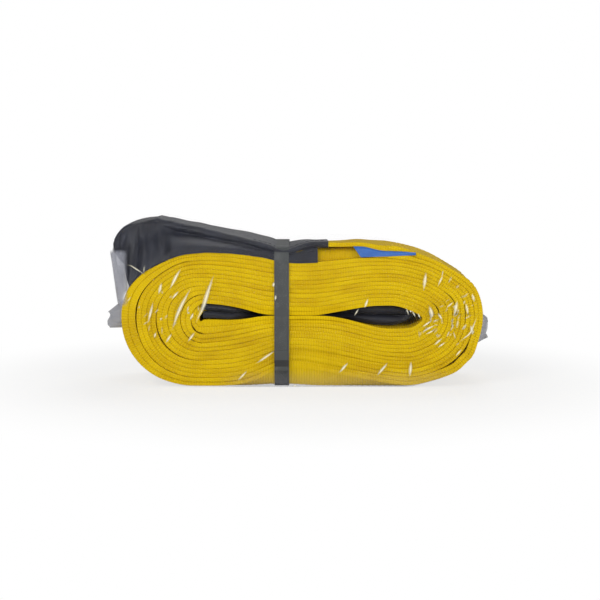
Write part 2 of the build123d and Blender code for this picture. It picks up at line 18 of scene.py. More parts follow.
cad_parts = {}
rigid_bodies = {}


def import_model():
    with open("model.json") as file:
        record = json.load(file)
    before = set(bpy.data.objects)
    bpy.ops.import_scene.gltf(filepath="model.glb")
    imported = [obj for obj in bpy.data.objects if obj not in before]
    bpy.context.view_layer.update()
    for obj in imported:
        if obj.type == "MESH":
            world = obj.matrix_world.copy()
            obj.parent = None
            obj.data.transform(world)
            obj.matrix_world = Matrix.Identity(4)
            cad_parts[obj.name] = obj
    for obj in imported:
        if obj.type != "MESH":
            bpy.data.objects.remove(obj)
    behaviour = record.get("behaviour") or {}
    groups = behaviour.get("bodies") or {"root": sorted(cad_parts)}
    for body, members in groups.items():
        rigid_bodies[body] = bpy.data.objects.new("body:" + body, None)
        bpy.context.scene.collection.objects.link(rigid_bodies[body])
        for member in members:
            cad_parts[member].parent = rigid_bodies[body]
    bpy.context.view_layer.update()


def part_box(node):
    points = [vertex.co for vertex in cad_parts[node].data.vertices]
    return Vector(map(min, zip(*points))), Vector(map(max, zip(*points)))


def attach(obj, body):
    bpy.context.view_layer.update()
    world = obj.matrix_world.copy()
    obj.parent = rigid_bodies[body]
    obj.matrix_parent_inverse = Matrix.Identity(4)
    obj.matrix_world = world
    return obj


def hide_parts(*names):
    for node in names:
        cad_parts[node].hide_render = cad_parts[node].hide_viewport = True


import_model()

# %% [markdown]
# ## Sizes
#
# A sling maker works in millimetres, so the shapes are worked out in millimetres and turned into
# metres when a mesh is finished. The sizes of the webbing are those of the CAD model. What can be
# read from the CAD solids is read from their boxes.

# %% Sizes of the sling
MM = 0.001
webbing_width = 90.0
ply_thickness = 3.49
ply_middle = 1.75  # from the body's middle to the middle of a ply
pitch = 7.05  # from one turn of the body to the next
last = 6  # the outermost turn; turns are counted from the hollow outwards
half_width = webbing_width / 2


def node_box(node):
    """A CAD node's lowest and highest corners, in millimetres."""
    low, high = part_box(node)
    return low / MM, high / MM


body_low, body_high = node_box("body_outer_ply")
inner_low = node_box("inner_eye_webbing")[0]
sleeve_low, sleeve_high = node_box("inner_eye_sleeve")
band_low, band_high = node_box("packing_band")
film_high = node_box("film_wrap")[1]

coil_bottom = body_low.z
hollow_middle = (sleeve_low.z + sleeve_high.z) / 2
hollow_bottom = coil_bottom + (last + 1) * pitch
hollow_top = 2 * hollow_middle - hollow_bottom
coil_top = hollow_top + last * pitch
# a bend is flatter for this turn at its top and bottom, where its radius is larger by a growth
flatter_turn = 40.0  # degrees
shoulder_growth, toe_growth = 40.0, 14.0  # at the top and bottom of each right bend
heel_growths = [0, 2.5, 4.3, 5.2, 6, 10]  # at the bottom of each left bend, from the innermost one
flatter_cos, flatter_sin = math.cos(math.radians(flatter_turn)), math.sin(math.radians(flatter_turn))
growth_cut = (shoulder_growth + toe_growth) * (1 - flatter_cos) / 2
right_z = hollow_middle - (shoulder_growth - toe_growth) * (1 - flatter_cos) / 2
right_radius = hollow_middle - coil_bottom - growth_cut
right_x = body_high.x - right_radius
shoulder_x = right_x - shoulder_growth * flatter_sin
left_z = hollow_middle + (heel_growths[-1] * (1 - flatter_cos) - pitch) / 2
left_radius = left_z + heel_growths[-1] * flatter_cos - coil_bottom - heel_growths[-1]
flattened = 1.6  # how far the left bends are drawn out past the solid ones
left_x = body_low.x - flattened + left_radius
band_x = (band_low.x + band_high.x) / 2
print(f"coil {coil_bottom:.2f} to {coil_top:.2f} high, hollow {hollow_bottom:.2f} to {hollow_top:.2f}")
print(f"bends at {left_x:.2f} and {right_x:.2f}, band at {band_x:.2f}")

# %% [markdown]
# ## Camera, lights and floor
#
# The camera looks at the front of the coil from a little above. A long lens keeps the layers nearly
# parallel. The room is plain: a dim soft world, one large lamp above the front left, one on the
# right, a weak one low in front and one behind. White for the eye comes from the world's camera
# rays, not from more light.

# %% The camera
view_target = Vector((1.24, -half_width, 72.3)) * MM  # a point on the coil's front
view_distance = 1.4  # metres
view_rise = math.radians(6)
view_half_height = 0.246  # of the picture at the target, in metres

bpy.ops.object.camera_add()
camera = bpy.context.object
camera.name = "camera"
camera.location = view_target + view_distance * Vector((0, -math.cos(view_rise), math.sin(view_rise)))
camera.rotation_euler = (view_target - camera.location).to_track_quat("-Z", "Y").to_euler()
camera.data.angle = 2 * math.atan(view_half_height / view_distance)
bpy.context.scene.camera = camera
print("lens:", round(camera.data.lens, 1), "mm")

# %% [markdown]
# ## A short way to write shader maths
#
# A material is a net of nodes. Written out, even a sum takes several lines, so a small class wraps
# an output socket and gives it Python's operators. Each operator adds one Math node. Every other
# node comes from one method, `node`, which takes the node's type, its settings and its inputs.


# %% Shader maths as Python expressions
class Wire:
    """An output socket of a material's node tree, for use in an expression."""

    def __init__(self, tree, socket=None):
        self.tree = tree
        self.socket = socket

    def node(self, kind, settings=None, inputs=None, output=0):
        """Adds a node. Its settings come first, and then its values and links."""
        added = self.tree.nodes.new(kind)
        for name, value in (settings or {}).items():
            setattr(added, name, value)
        for name, value in (inputs or {}).items():
            if isinstance(value, Wire):
                self.tree.links.new(value.socket, added.inputs[name])
            else:
                added.inputs[name].default_value = value
        return Wire(self.tree, added.outputs[output])

    def maths(self, operation, first, second=0.0):
        """A Math node with two inputs, each a wire or a number."""
        return self.node("ShaderNodeMath", {"operation": operation}, {0: first, 1: second})

    def __add__(self, other):
        return self.maths("ADD", self, other)

    def __mul__(self, other):
        return self.maths("MULTIPLY", self, other)

    def __sub__(self, other):
        return self.maths("SUBTRACT", self, other)

    def __rsub__(self, other):
        return self.maths("SUBTRACT", other, self)

    def __pow__(self, other):
        return self.maths("POWER", self, other)

    __radd__ = __add__
    __rmul__ = __mul__

    def wave(self, cycles, phase=0.0):
        """0 to 1 and back, that many times in each unit of this wire."""
        return self.maths("SINE", self * (2 * math.pi * cycles) + phase) * 0.5 + 0.5

    def above(self, low, high):
        """0 under low, 1 over high, and smooth between them."""
        return self.node(
            "ShaderNodeMapRange",
            {"interpolation_type": "SMOOTHSTEP"},
            {"Value": self, "From Min": low, "From Max": high},
        )

    def noise(self, scale, detail):
        """Cloudy noise over this vector, about 0.5 on average."""
        return self.node("ShaderNodeTexNoise", None, {"Vector": self, "Scale": scale, "Detail": detail})

    def stretched(self, x, y, z):
        """This vector, scaled along each axis."""
        return self.node("ShaderNodeMapping", None, {"Vector": self, "Scale": (x, y, z)})

    def axis(self, index):
        """One coordinate of this vector."""
        return self.node("ShaderNodeSeparateXYZ", None, {"Vector": self}, index)

    def blend(self, share, other):
        """From this colour to the other one, by share."""
        return self.node("ShaderNodeMix", {"data_type": "RGBA"}, {0: share, 6: self, 7: other}, 2)

    def bump(self, strength, distance):
        """A normal that follows this height."""
        inputs = {"Height": self, "Strength": strength, "Distance": distance}
        return self.node("ShaderNodeBump", None, inputs)


def colour(start, value):
    """A plain colour as a wire."""
    added = start.tree.nodes.new("ShaderNodeRGB")
    added.outputs[0].default_value = (*value, 1)
    return Wire(start.tree, added.outputs[0])


def new_material(name):
    """A plain material, and its principled shader."""
    material = bpy.data.materials.new(name)
    material.use_nodes = True
    return material, material.node_tree.nodes["Principled BSDF"]


def feed(shader, values):
    """Sets or links a shader's sockets."""
    for name, value in values.items():
        if isinstance(value, Wire):
            value.tree.links.new(value.socket, shader.inputs[name])
        else:
            shader.inputs[name].default_value = value


def cloth_place(start):
    """Where a point is on the flat cloth before it was wound, in metres: along and across."""
    return start.node("ShaderNodeUVMap", {"uv_map": "cloth"})


def object_place(start):
    """Where a point is on the object, in metres."""
    return start.node("ShaderNodeTexCoord", None, None, "Object")


# %% The world, the lamps and the floor
world = bpy.data.worlds.new("room")
bpy.context.scene.world = world
world.use_nodes = True
seen, through = (
    Wire(world.node_tree).node("ShaderNodeLightPath", None, None, kind)
    for kind in ("Is Camera Ray", "Is Transmission Ray")
)
shown_white = seen.maths("MAXIMUM", seen, through)
world_light = 0.36
world_strength = shown_white * (1 - world_light) + world_light
background = world.node_tree.nodes["Background"]
feed(background, {"Color": (1, 1, 1, 1), "Strength": world_strength})


def soft_lamp(name, place, size, power):
    """A square area lamp that looks at the coil."""
    bpy.ops.object.light_add(type="AREA", location=place)
    lamp = bpy.context.object
    lamp.name = name
    lamp.data.size = size
    lamp.data.energy = power
    lamp.rotation_euler = (view_target - lamp.location).to_track_quat("-Z", "Y").to_euler()
    return lamp


lamps = [
    soft_lamp("key_lamp", Vector((-0.7, -1.2, 0.95)), 0.7, 10.5),
    soft_lamp("fill_lamp", Vector((1.1, -1.2, 0.45)), 0.8, 6.5),
    soft_lamp("low_lamp", Vector((0.1, -1.3, 0.12)), 0.6, 4),
    soft_lamp("back_lamp", Vector((0.2, 0.8, 1.4)), 0.7, 6),
]
print("lamps:", [lamp.name for lamp in lamps])

bpy.ops.mesh.primitive_plane_add(size=6)
floor = bpy.context.object
floor.name = "floor"
floor_paint, floor_shader = new_material("pale_floor")
start = Wire(floor_paint.node_tree)
from_coil = start.node("ShaderNodeVectorMath", {"operation": "LENGTH"}, {0: object_place(start)}, 1)
feed(floor_shader, {"Base Color": (0.86, 0.86, 0.86, 1), "Roughness": 0.9})
camera_ray = start.node("ShaderNodeLightPath", None, None, "Is Camera Ray")
glow = start.node("ShaderNodeEmission", None, {"Color": (1, 1, 1, 1), "Strength": 1.0})
shown_bright = (from_coil.above(0.17, 0.34) * 0.3 + 0.7) * camera_ray
bright = start.node("ShaderNodeMixShader", None, {0: shown_bright, 2: glow})
start.tree.links.new(floor_shader.outputs[0], bright.socket.node.inputs[1])
start.tree.links.new(bright.socket, start.tree.nodes["Material Output"].inputs["Surface"])
floor.data.materials.append(floor_paint)
bpy.context.scene.view_settings.view_transform = "Standard"

# %% [markdown]
# ## Working on a mesh
#
# Strips and sleeves start flat, as they are when they are woven and cut. A grid primitive gives the
# flat cloth, Solidify its thickness and Bevel its rounded edges. Then every vertex is moved to its
# place on the object at once, with numpy. The flat place of each corner is kept in a UV map called
# `cloth`, so that the weave follows the cloth round every bend.


# %% Helpers for meshes
def only(piece):
    """Selects one object and nothing else, and makes it the active one."""
    bpy.ops.object.select_all(action="DESELECT")
    piece.select_set(True)
    bpy.context.view_layer.objects.active = piece


def modify(piece, kind, **settings):
    """Adds a modifier and applies it."""
    only(piece)
    modifier = piece.modifiers.new(kind.lower(), kind)
    for name, value in settings.items():
        setattr(modifier, name, value)
    bpy.ops.object.modifier_apply(modifier=modifier.name)


def places(piece):
    """The vertices as an array with a row for each."""
    values = np.zeros(len(piece.data.vertices) * 3)
    piece.data.vertices.foreach_get("co", values)
    return values.reshape(-1, 3)


def put(piece, rows):
    """Moves every vertex to its row."""
    piece.data.vertices.foreach_set("co", np.asarray(rows, float).ravel())
    piece.data.update()


def outward(piece, merge=1e-6):
    """Merges doubles and turns every face outwards. merge is in the mesh's own unit."""
    only(piece)
    bpy.ops.object.mode_set(mode="EDIT")
    bpy.ops.mesh.select_all(action="SELECT")
    bpy.ops.mesh.remove_doubles(threshold=merge)
    bpy.ops.mesh.normals_make_consistent(inside=False)
    bpy.ops.object.mode_set(mode="OBJECT")


def keep_cloth_place(piece, along, across):
    """Writes where each vertex is on the flat cloth to the UV map `cloth`, in metres."""
    for layer in list(piece.data.uv_layers):
        piece.data.uv_layers.remove(layer)
    layer = piece.data.uv_layers.new(name="cloth")
    corner_vertex = np.zeros(len(piece.data.loops), int)
    piece.data.loops.foreach_get("vertex_index", corner_vertex)
    flat = np.column_stack([along, across])[corner_vertex] * MM
    layer.data.foreach_set("uv", flat.ravel())


def grid(name, steps, columns):
    """A flat grid, 1 by 1 about the origin, with that many faces along X and along Y."""
    bpy.ops.object.select_all(action="DESELECT")
    bpy.ops.mesh.primitive_grid_add(x_subdivisions=steps, y_subdivisions=columns, size=1)
    piece = bpy.context.object
    piece.name = piece.data.name = name
    return piece


def from_rows(name, rows, faces):
    """A piece made from its vertices, in millimetres, and its faces. Its x and y are its flat place."""
    mesh = bpy.data.meshes.new(name)
    mesh.from_pydata(rows.tolist(), [], faces)
    piece = bpy.data.objects.new(name, mesh)
    bpy.context.scene.collection.objects.link(piece)
    keep_cloth_place(piece, rows[:, 0], rows[:, 1])
    return piece


def cloth(name, length, width, step, columns):
    """Flat cloth of one layer, in millimetres: x from 0 to length, and y about 0.

    Its columns are closer to each other near the edges, where cloth bends most.
    """
    piece = grid(name, max(2, round(length / step)), columns)
    rows = places(piece)
    rows[:, 0] = (rows[:, 0] + 0.5) * length
    rows[:, 1] = width / 2 * np.sin(rows[:, 1] * 2.6) / math.sin(1.3)
    put(piece, rows)
    return piece


def strip(name, length, width=webbing_width, thickness=ply_thickness, step=4.0, columns=26):
    """Flat webbing with rounded edges."""
    piece = cloth(name, length, width, step, columns)
    modify(piece, "SOLIDIFY", thickness=thickness, offset=0, use_even_offset=False)
    rounding = {"width": thickness * 0.11, "segments": 2}
    modify(piece, "BEVEL", limit_method="ANGLE", angle_limit=math.radians(60), **rounding)
    along, across, _ = places(piece).T
    keep_cloth_place(piece, along, across)
    return piece


def finish(piece, material, smooth=42):
    """Turns millimetres into metres, shades the piece smooth and gives it its material."""
    put(piece, places(piece) * MM)
    outward(piece)
    only(piece)
    bpy.ops.object.shade_smooth_by_angle(angle=math.radians(smooth))
    piece.data.materials.clear()
    piece.data.materials.append(material)
    print(piece.name, len(piece.data.polygons), "faces")
    return piece


def through_points(points, blur=7.0):
    """A smooth curve near some (x, value) points, as a function of x."""
    table_x = np.arange(-175.0, 176.0, 1.0)
    values = np.interp(table_x, *zip(*points))
    reach = int(3 * blur)
    weights = np.exp(-((np.arange(-reach, reach + 1) / blur) ** 2))
    padded = np.pad(values, reach, mode="edge")
    smooth = np.convolve(padded, weights / weights.sum(), mode="valid")
    return lambda x: np.interp(x, table_x, smooth)


def ease(value, low, high):
    """0 under low, 1 over high, and smooth between them."""
    share = np.clip((value - low) / (high - low), 0, 1)
    return share * share * (3 - 2 * share)


def way_along(points):
    """How far along a line each of its points lies."""
    return np.concatenate([[0], np.cumsum(np.hypot(*np.diff(points, axis=0).T))])


# %% [markdown]
# ## A route for cloth to follow
#
# A wound strip follows a line in the XZ plane. `Route` keeps that line as closely spaced points, and
# `lay` puts flat cloth on it: x becomes the way along the line, y stays across, and z stands off it.


# %% A route, and cloth laid on it
class Route:
    """A line in the XZ plane, in millimetres. Its outer side is on the right of the way along it.

    A third column, if there is one, says how many times its own thickness the cloth takes up there.
    """

    def __init__(self, points):
        points = np.asarray(points, float)
        if points.shape[1] == 2:
            points = np.column_stack([points, np.ones(len(points))])
        steps = np.hypot(*np.diff(points[:, :2], axis=0).T)
        points = points[np.concatenate([[True], steps > 1e-6])]
        along = way_along(points[:, :2])
        self.length = along[-1]
        self.way = np.linspace(0, self.length, int(self.length / 0.6) + 2)
        self.x = np.interp(self.way, along, points[:, 0])
        self.z = np.interp(self.way, along, points[:, 1])
        self.swell = np.interp(self.way, along, points[:, 2])
        dx, dz = np.gradient(self.x), np.gradient(self.z)
        size = np.hypot(dx, dz)
        self.out_x, self.out_z = dz / size, -dx / size

    def at(self, way, out):
        """The place at a way along the line, and that far out from it."""
        out = out * np.interp(way, self.way, self.swell)
        out_x = np.interp(way, self.way, self.out_x)
        out_z = np.interp(way, self.way, self.out_z)
        x = np.interp(way, self.way, self.x) + out * out_x
        z = np.interp(way, self.way, self.z) + out * out_z
        return x, z


def arc(x, z, radius, start, turn, grow=0.0, swell=1.0):
    """Points round a bend. grow and swell are numbers, or one number for each of its 91 points."""
    angles = np.radians(np.linspace(start, start + turn, 91))
    radii = radius + grow
    swells = np.ones(91) * swell
    return np.column_stack([x + radii * np.cos(angles), z + radii * np.sin(angles), swells])


def smooth_route(points, detail=40):
    """A route through a few points, rounded as a curve through them."""
    points = np.asarray(points, float)
    ends = np.vstack([2 * points[0] - points[1], points, 2 * points[-1] - points[-2]])
    share = np.linspace(0, 1, detail, endpoint=False)[:, None]
    found = []
    for before, start, end, after in zip(ends, ends[1:], ends[2:], ends[3:]):
        found.append(
            start
            + share * (end - before) / 2
            + share**2 * (before - 2.5 * start + 2 * end - after / 2)
            + share**3 * (1.5 * (start - end) + (after - before) / 2)
        )
    return Route(np.vstack([*found, points[-1:]]))


def lay(piece, route, bend, shape=None, stand=0.0):
    """Lays flat cloth on a route. shape changes (along, across, out) first, and bend (x, y, z) last."""
    along, across, out = places(piece).T
    if shape is not None:
        along, across, out = shape(along, across, out)
    x, z = route.at(along, out + stand)
    put(piece, np.column_stack(bend(x, across, z)))


# %% [markdown]
# ## How the strap squeezes the coil
#
# The coil isn't a stack of straight layers. The strap pulls the edges of the webbing together at the
# waist, so the layers curl, the hollow closes there at the front and the back, and the ribbed faces
# of the outermost layers show. `settle` bends all of the coil in this way at once. It moves four
# heights: the bottom, the hollow's floor and ceiling, and the top. Each has its own curve along X,
# one for the middle of the webbing and one for its edges. All between them moves in proportion, so
# that neighbours never cut through each other.

# %% The squeeze at the waist
top_drop_middle = through_points(
    [(-152, 1), (-144, 1.8), (-134, 3.4), (-122, 5.4), (-109, 3.9), (-93, 0.8), (-76, -1.0), (-55, -0.5),
     (-38, 1.4), (-25, 3.8), (-14, 8.0), (5, 5.6), (24, 4.6), (38, 3.0), (52, 1.4), (70, 1.2), (84, 3.1),
     (94, 4.0), (106, 4.4), (114, 4.8), (124, 5.6), (134, 5.6), (142, 3.8), (152, 3.5)],
    5.0,
)
top_drop_edge = through_points(
    [(-152, 1), (-144, 1.8), (-134, 3.4), (-122, 5.4), (-109, 3.9), (-93, 0.8), (-76, -0.8), (-55, 0.0),
     (-38, 2.0), (-27, 3.8), (-14, 7.2), (-4, 8.2), (10, 8.0), (26, 6.8), (38, 5.6), (52, 4.4), (70, 4.6),
     (84, 5.0), (94, 5.0), (106, 4.8), (114, 5.0), (124, 5.6), (134, 5.6), (142, 3.8), (152, 3.5)],
    5.0,
)
bottom_rise_middle = through_points(
    [(-150, -3), (-142, -2.6), (-134, -1.6), (-118, -1.3), (-104, -0.9), (-92, -0.8), (-40, -0.9),
     (-22, 0.1), (-6, 0.1), (14, -1.2), (86, -1.3), (94, -0.8), (106, 0.6), (114, 0.5), (124, 0),
     (134, -0.8), (142, -2.4), (150, -3)],
    4.0,
)
bottom_rise_edge = through_points(
    [(-150, -3), (-142, -2.6), (-134, -1.6), (-118, -1.3), (-104, -0.9), (-92, -0.8), (-64, -0.8),
     (-50, 0.4), (-38, 3.6), (-27, 9.0), (-16, 14.6), (-8, 15.4), (4, 14.8), (21, 11.6), (42, 7.4),
     (63, 3.6), (76, 1.2), (86, -0.2), (94, -0.2), (106, 0.6), (114, 0.5), (124, 0), (134, -0.8),
     (142, -2.4), (150, -3)],
    4.0,
)
floor_edge = through_points(
    [(-92, 50.8), (-76, 51.0), (-56, 53.4), (-43, 56.2), (-33, 58.6), (-22, 59.7), (18, 59.7), (28, 59.0),
     (38, 57.2), (46, 55.2), (54, 53.0), (63, 50.4), (74, 49.0), (90, 49.2), (104, 51.1)],
    4.0,
)
ceiling_edge = through_points(
    [(-92, 69.4), (-76, 69.7), (-64, 68.4), (-56, 67.0), (-44, 64.2), (-34, 61.0), (-27, 59.72), (14, 59.72),
     (22, 60.9), (38, 63.6), (49, 65.6), (60, 67.4), (81, 68.0), (92, 67.6), (104, 69.0)],
    4.0,
)
open_edge = through_points([(45, 0.45), (83, 0.46), (95, 0.25), (108, 0)], 4.0)  # of the last turn
curl_start = 19.0  # how far from the middle the edges begin to curl
low_curl_start = 40.0  # and those of the lowest turn


def heights(x, y):
    """The bottom, floor, ceiling and top of the settled coil at x and y."""
    curl = ease(np.abs(y), curl_start, half_width + 3.0)
    low_curl = ease(np.abs(y), low_curl_start, half_width + 1.0)
    bottom = coil_bottom + (1 - low_curl) * bottom_rise_middle(x) + low_curl * bottom_rise_edge(x)
    low = hollow_bottom + curl * (floor_edge(x) - hollow_bottom)
    high = hollow_top + curl * (ceiling_edge(x) - hollow_top)
    top = coil_top - (1 - curl) * top_drop_middle(x) - curl * top_drop_edge(x)
    return bottom, low, high, top


def settle(x, y, z):
    """Where a point of the evenly wound coil lies once the coil is strapped."""
    bottom, low, high, top = heights(x, y)
    below = (z - coil_bottom) / (hollow_bottom - coil_bottom)
    inside = (z - hollow_bottom) / (hollow_top - hollow_bottom)
    above = (z - hollow_top) / (coil_top - hollow_top)
    new_z = np.where(below < 0, bottom + z - coil_bottom, bottom + below * (low - bottom))
    new_z = np.where(inside > 0, low + inside * (high - low), new_z)
    new_z = np.where(above > 0, high + above * (top - high), new_z)
    opened = 1 + open_edge(x) * ease(-y, curl_start, half_width) * (above > 1)
    new_z = np.where(above > 1, top + (z - coil_top) * opened, new_z)
    sway = 0.35 * np.sin(x / 31 + z / 23 + 0.7) + 0.22 * np.sin(x / 13.5 - z / 17 + 2.1)
    calm = ease(z, coil_bottom, coil_bottom + 9) * ease(coil_top - z, 0, 9)
    low = ease(np.abs(y), curl_start, half_width) * ease(40 - z, 0, 38)
    steep = 1 - 0.045 * low * bottom_rise_edge(x) / 15
    return x, y * steep, new_z + sway * calm


def coil_top_at(x, y):
    """Height of the settled coil's outermost face over the hollow, at x and y."""
    reach = np.sqrt(np.clip(left_radius**2 - np.minimum(x - left_x, 0) ** 2, 0, None))
    even = np.where(x < left_x, left_z + reach, coil_top)
    return settle(x, y, even)[2]


print("hollow at the waist's edge:", round(float(ceiling_edge(0) - floor_edge(0)), 2), "mm")

# %% [markdown]
# ## The body of the sling
#
# The body is two plies, one on the other, that start at the inner throat under the hollow and wind
# outwards. The left bends don't fit tightly into each other: the coil was flattened after it was
# wound, and each turn kept some slack there. The plies' edges swell into that slack and leave only
# thin dark lines. On the right, a few turns stand a little apart.

# %% The body's route
left_slack = [0.8, 4.0, 2.2, 1.25, 1.2, 5.8]  # outside each left bend, from the innermost one
# where a left bend's slack stays open: the middle and spread of its angles, and the gap
left_open = {0: (228, 34, 0.9), 3: (222, 40, 0.9), 5: (172, 24, 0.9)}
fold_gap = 1.5  # between the innermost bend and the inner eye's fold
inner_eye_reach = 75.75  # from the inner eye's end to its throat
inner_throat_x = inner_low.x + inner_eye_reach
outer_throat_x = shoulder_x - 0.6
# where the right bends outside a turn stand apart from it: the turn, the same angles, and the gap
standing_apart = [
    (1, 25, 15, 0.7), (3, 32, 12, 0.6), (4, 5, 14, 0.5), (5, -52, 8, 1.3), (5, -34, 8, 1.5)
]
fold_x = left_x + sum(left_slack[1:]) + fold_gap - 0.2  # middle of the inner eye's fold


def bottom_run_z(turn):
    """Height of the body's middle line where a turn runs along under the hollow."""
    return hollow_bottom - (turn + 0.5) * pitch


def top_run_z(turn):
    """The same, over the hollow."""
    return hollow_top + (turn + 0.5) * pitch


def right_bend(turn):
    """The bend of a turn on the right, with the gaps where it stands apart from those inside it."""
    radius = (top_run_z(turn) - bottom_run_z(turn)) / 2 - growth_cut
    angles = np.linspace(-90, 90, 91)
    grow = shoulder_growth * (angles >= 90 - flatter_turn) + toe_growth * (angles <= flatter_turn - 90)
    bend_x = right_x - grow * flatter_sin
    bend_z = right_z - grow * flatter_cos * np.sign(angles)
    for inside, middle, spread, size in standing_apart:
        if turn > inside:
            grow = grow + size * np.exp(-(((angles - middle) / spread) ** 2))
    return arc(bend_x, bend_z, radius, -90, 180, grow)


def heel_cut(angles):
    """How far inwards a left bend lies, for each millimetre by which its heel's radius grows."""
    rise = (1 - flatter_cos) / 2
    sines, cosines = np.sin(np.radians(angles)), np.cos(np.radians(angles))
    heel = -(flatter_sin * cosines + (flatter_cos + rise) * sines + 1 - rise)
    return np.where(angles < 270 - flatter_turn, rise * (1 - sines), heel)


def left_bend(turn):
    """The bend on the left from top run `turn` down to the next bottom run."""
    high, low, growth = top_run_z(turn), bottom_run_z(turn + 1), heel_growths[turn]
    x = left_x + sum(left_slack[turn + 1 :])
    z = (high + low + growth * (1 - flatter_cos)) / 2
    angles = np.linspace(90, 270, 91)
    heel = angles >= 270 - flatter_turn
    more = growth - heel_growths[max(turn - 1, 0)]
    gap = left_slack[turn] * -np.cos(np.radians(angles)) - heel_cut(angles) * more
    if turn == 0:
        gap = fold_gap * -np.cos(np.radians(angles)) + 0.3
    middle, spread, size = left_open.get(turn, (180, 40, 0.03))
    swell = np.maximum(gap - size * np.exp(-(((angles - middle) / spread) ** 2)), 0) / pitch
    bend_x, bend_z = x + growth * flatter_sin * heel, z + growth * flatter_cos * heel
    return arc(bend_x, bend_z, high - z, 90, 180, growth * heel - swell * pitch / 2, 1 + swell)


def body_points():
    """The body's middle line from the inner throat to the outer one."""
    found = [[(inner_throat_x, bottom_run_z(0), 1)]]
    for turn in range(last + 1):
        if turn > 0:
            found.append(left_bend(turn - 1))
        found.append(right_bend(turn))
    found.append([(outer_throat_x, top_run_z(last), 1)])
    return np.vstack(found)


def wander(along, seed):
    """How far a ply's edge strays across the stack, along its length."""
    return 0.55 * np.sin(along / 63 + seed) + 0.35 * np.sin(along / 27 + 2.3 * seed) + 0.2 * seed - 0.2


# %% The two plies of the body
webbing, webbing_shader = new_material("yellow_webbing")
body_route = Route(body_points())
body_plies = []
for name, side in (("body_outer_ply", 1), ("body_inner_ply", -1)):
    ply = strip(name + "_cloth", body_route.length)

    def stray(along, across, out, side=side):
        return along, across + wander(along, side * 0.9), out

    lay(ply, body_route, settle, stray, side * ply_middle)
    body_plies.append(finish(ply, webbing))
print(f"body: {body_route.length:.0f} mm of two-ply webbing")

# %% [markdown]
# ## Webbing and sleeve of an eye
#
# Past each throat the two plies part and become the legs of an eye, which runs through a sleeve of
# thin black cloth. A sleeve is flat cloth too. It is laid round a flat oval, which closes it into a
# tube, and Solidify gives it its wall last. The eye is folded to half its width at its apex.


# %% A sleeve laid on a route
sleeve_cloth, sleeve_shader = new_material("black_sleeve_cloth")
sleeve_wall, sleeve_step = 0.9, 3.0
oval_columns = 48  # of the cloth round a sleeve
oval_edge = 0.16  # share of them that turn round each of its two edges


def oval(turn, half, thick):
    """A flat oval: the place across and the height, for shares of a turn from its front edge."""
    share = np.mod(turn + oval_edge / 2, 1.0)
    upper = share < 0.5
    part = np.where(upper, share, share - 0.5) * 2  # 0 to 1 over one edge and one flat side
    bend = np.clip(part / (2 * oval_edge), 0, 1)
    flat = np.clip((part - 2 * oval_edge) / (1 - 2 * oval_edge), 0, 1)
    radius = thick / 2
    sign = np.where(upper, 1, -1)
    angle = (bend - 0.5) * math.pi
    across = -(half - radius) - radius * np.cos(angle) + flat * 2 * (half - radius)
    return sign * across, sign * radius * np.where(bend < 1, np.sin(angle), 1.0)


def sleeve(name, route, half_at, thick_at, crumple, bend):
    """A flat tube of cloth on a route. half_at and thick_at are functions of the way along it."""
    tube = grid(name, round(route.length / sleeve_step), oval_columns)
    flat = places(tube)
    along = (flat[:, 0] + 0.5) * route.length
    turn = flat[:, 1] + 0.5
    half, thick = half_at(along), thick_at(along)
    keep_cloth_place(tube, along, turn * 4 * half)
    across, out = oval(turn, half, thick)
    x, z = route.at(along, out + crumple(along, across, out))
    put(tube, np.column_stack(bend(x, across, z)))
    outward(tube, 1e-3)
    modify(tube, "SOLIDIFY", thickness=sleeve_wall, offset=-1, use_even_offset=False)
    return finish(tube, sleeve_cloth)


def creases(rows, seed, scales):
    """Sums cloudy noise over points: scales is pairs of a size in millimetres and a height."""
    total = np.zeros(len(rows))
    for size, height in scales:
        total += height * np.array(
            [noise.noise(Vector((x / size + seed, y / size, z / size))) for x, y, z in rows]
        )
    return total


# %% [markdown]
# ## The inner eye, flat in the hollow
#
# From the inner throat the legs run to the left under the hollow, fold up into it and run back to
# the right in their sleeve, folded narrow. Only their black front shows in the hollow's two openings.

# %% The inner eye
eye_leg = 4.45  # from the eye's middle to the middle of a leg
fold_reach = 12.3  # from the middle of the fold to its outer face
sleeve_start_x = fold_x - 2.2
narrow_half = 23.0  # of the folded webbing
fold_slack = 0.72  # share by which the legs are thicker at the fold


def inner_swell(x):
    """The lower legs are slack towards the fold, and stand open there."""
    return 1 + fold_slack * (1 - ease(x, -82, -30))


def inner_leg_points():
    """The legs' middle line: under the hollow, round the fold and back inside the sleeve."""
    low = bottom_run_z(0) - pitch / 2
    ways = np.arange(inner_throat_x, fold_x, -3.0)
    lower = [(x, low + inner_swell(x) * pitch / 2, inner_swell(x)) for x in ways]
    swell = 1 + fold_slack * np.exp(-((np.linspace(0, 180, 91) / 42) ** 2))
    grow = -swell * pitch / 2
    fold = arc(fold_x, low + fold_reach, fold_reach, 270, -180, grow, swell)
    upper = [(fold_x + 8, hollow_middle + 2.5, 1), (fold_x + 50, hollow_middle, 1)]
    return np.vstack([lower, fold, upper])


inner_leg_route = Route(inner_leg_points())


def inner_leg(side):
    """Flat webbing from the inner throat to inside the sleeve; side is 1 for the upper leg."""
    leg = strip(f"inner_eye_leg_{'upper' if side > 0 else 'lower'}", inner_leg_route.length)
    fold_end = inner_leg_route.length - 51

    def part(along, across, out):
        parted = ease(along, fold_end, fold_end + 14)
        narrowed = 1 - ease(along, fold_end - 7, fold_end + 12) * (1 - narrow_half / half_width)
        return along, across * narrowed, out - side * parted * (eye_leg - ply_middle)

    lay(leg, inner_leg_route, settle, part, -side * ply_middle)
    return finish(leg, webbing)


inner_legs = [inner_leg(1), inner_leg(-1)]


# %% The inner eye's sleeve
apex_reach = 16.0  # the apex is drawn out into the narrow end of the hollow


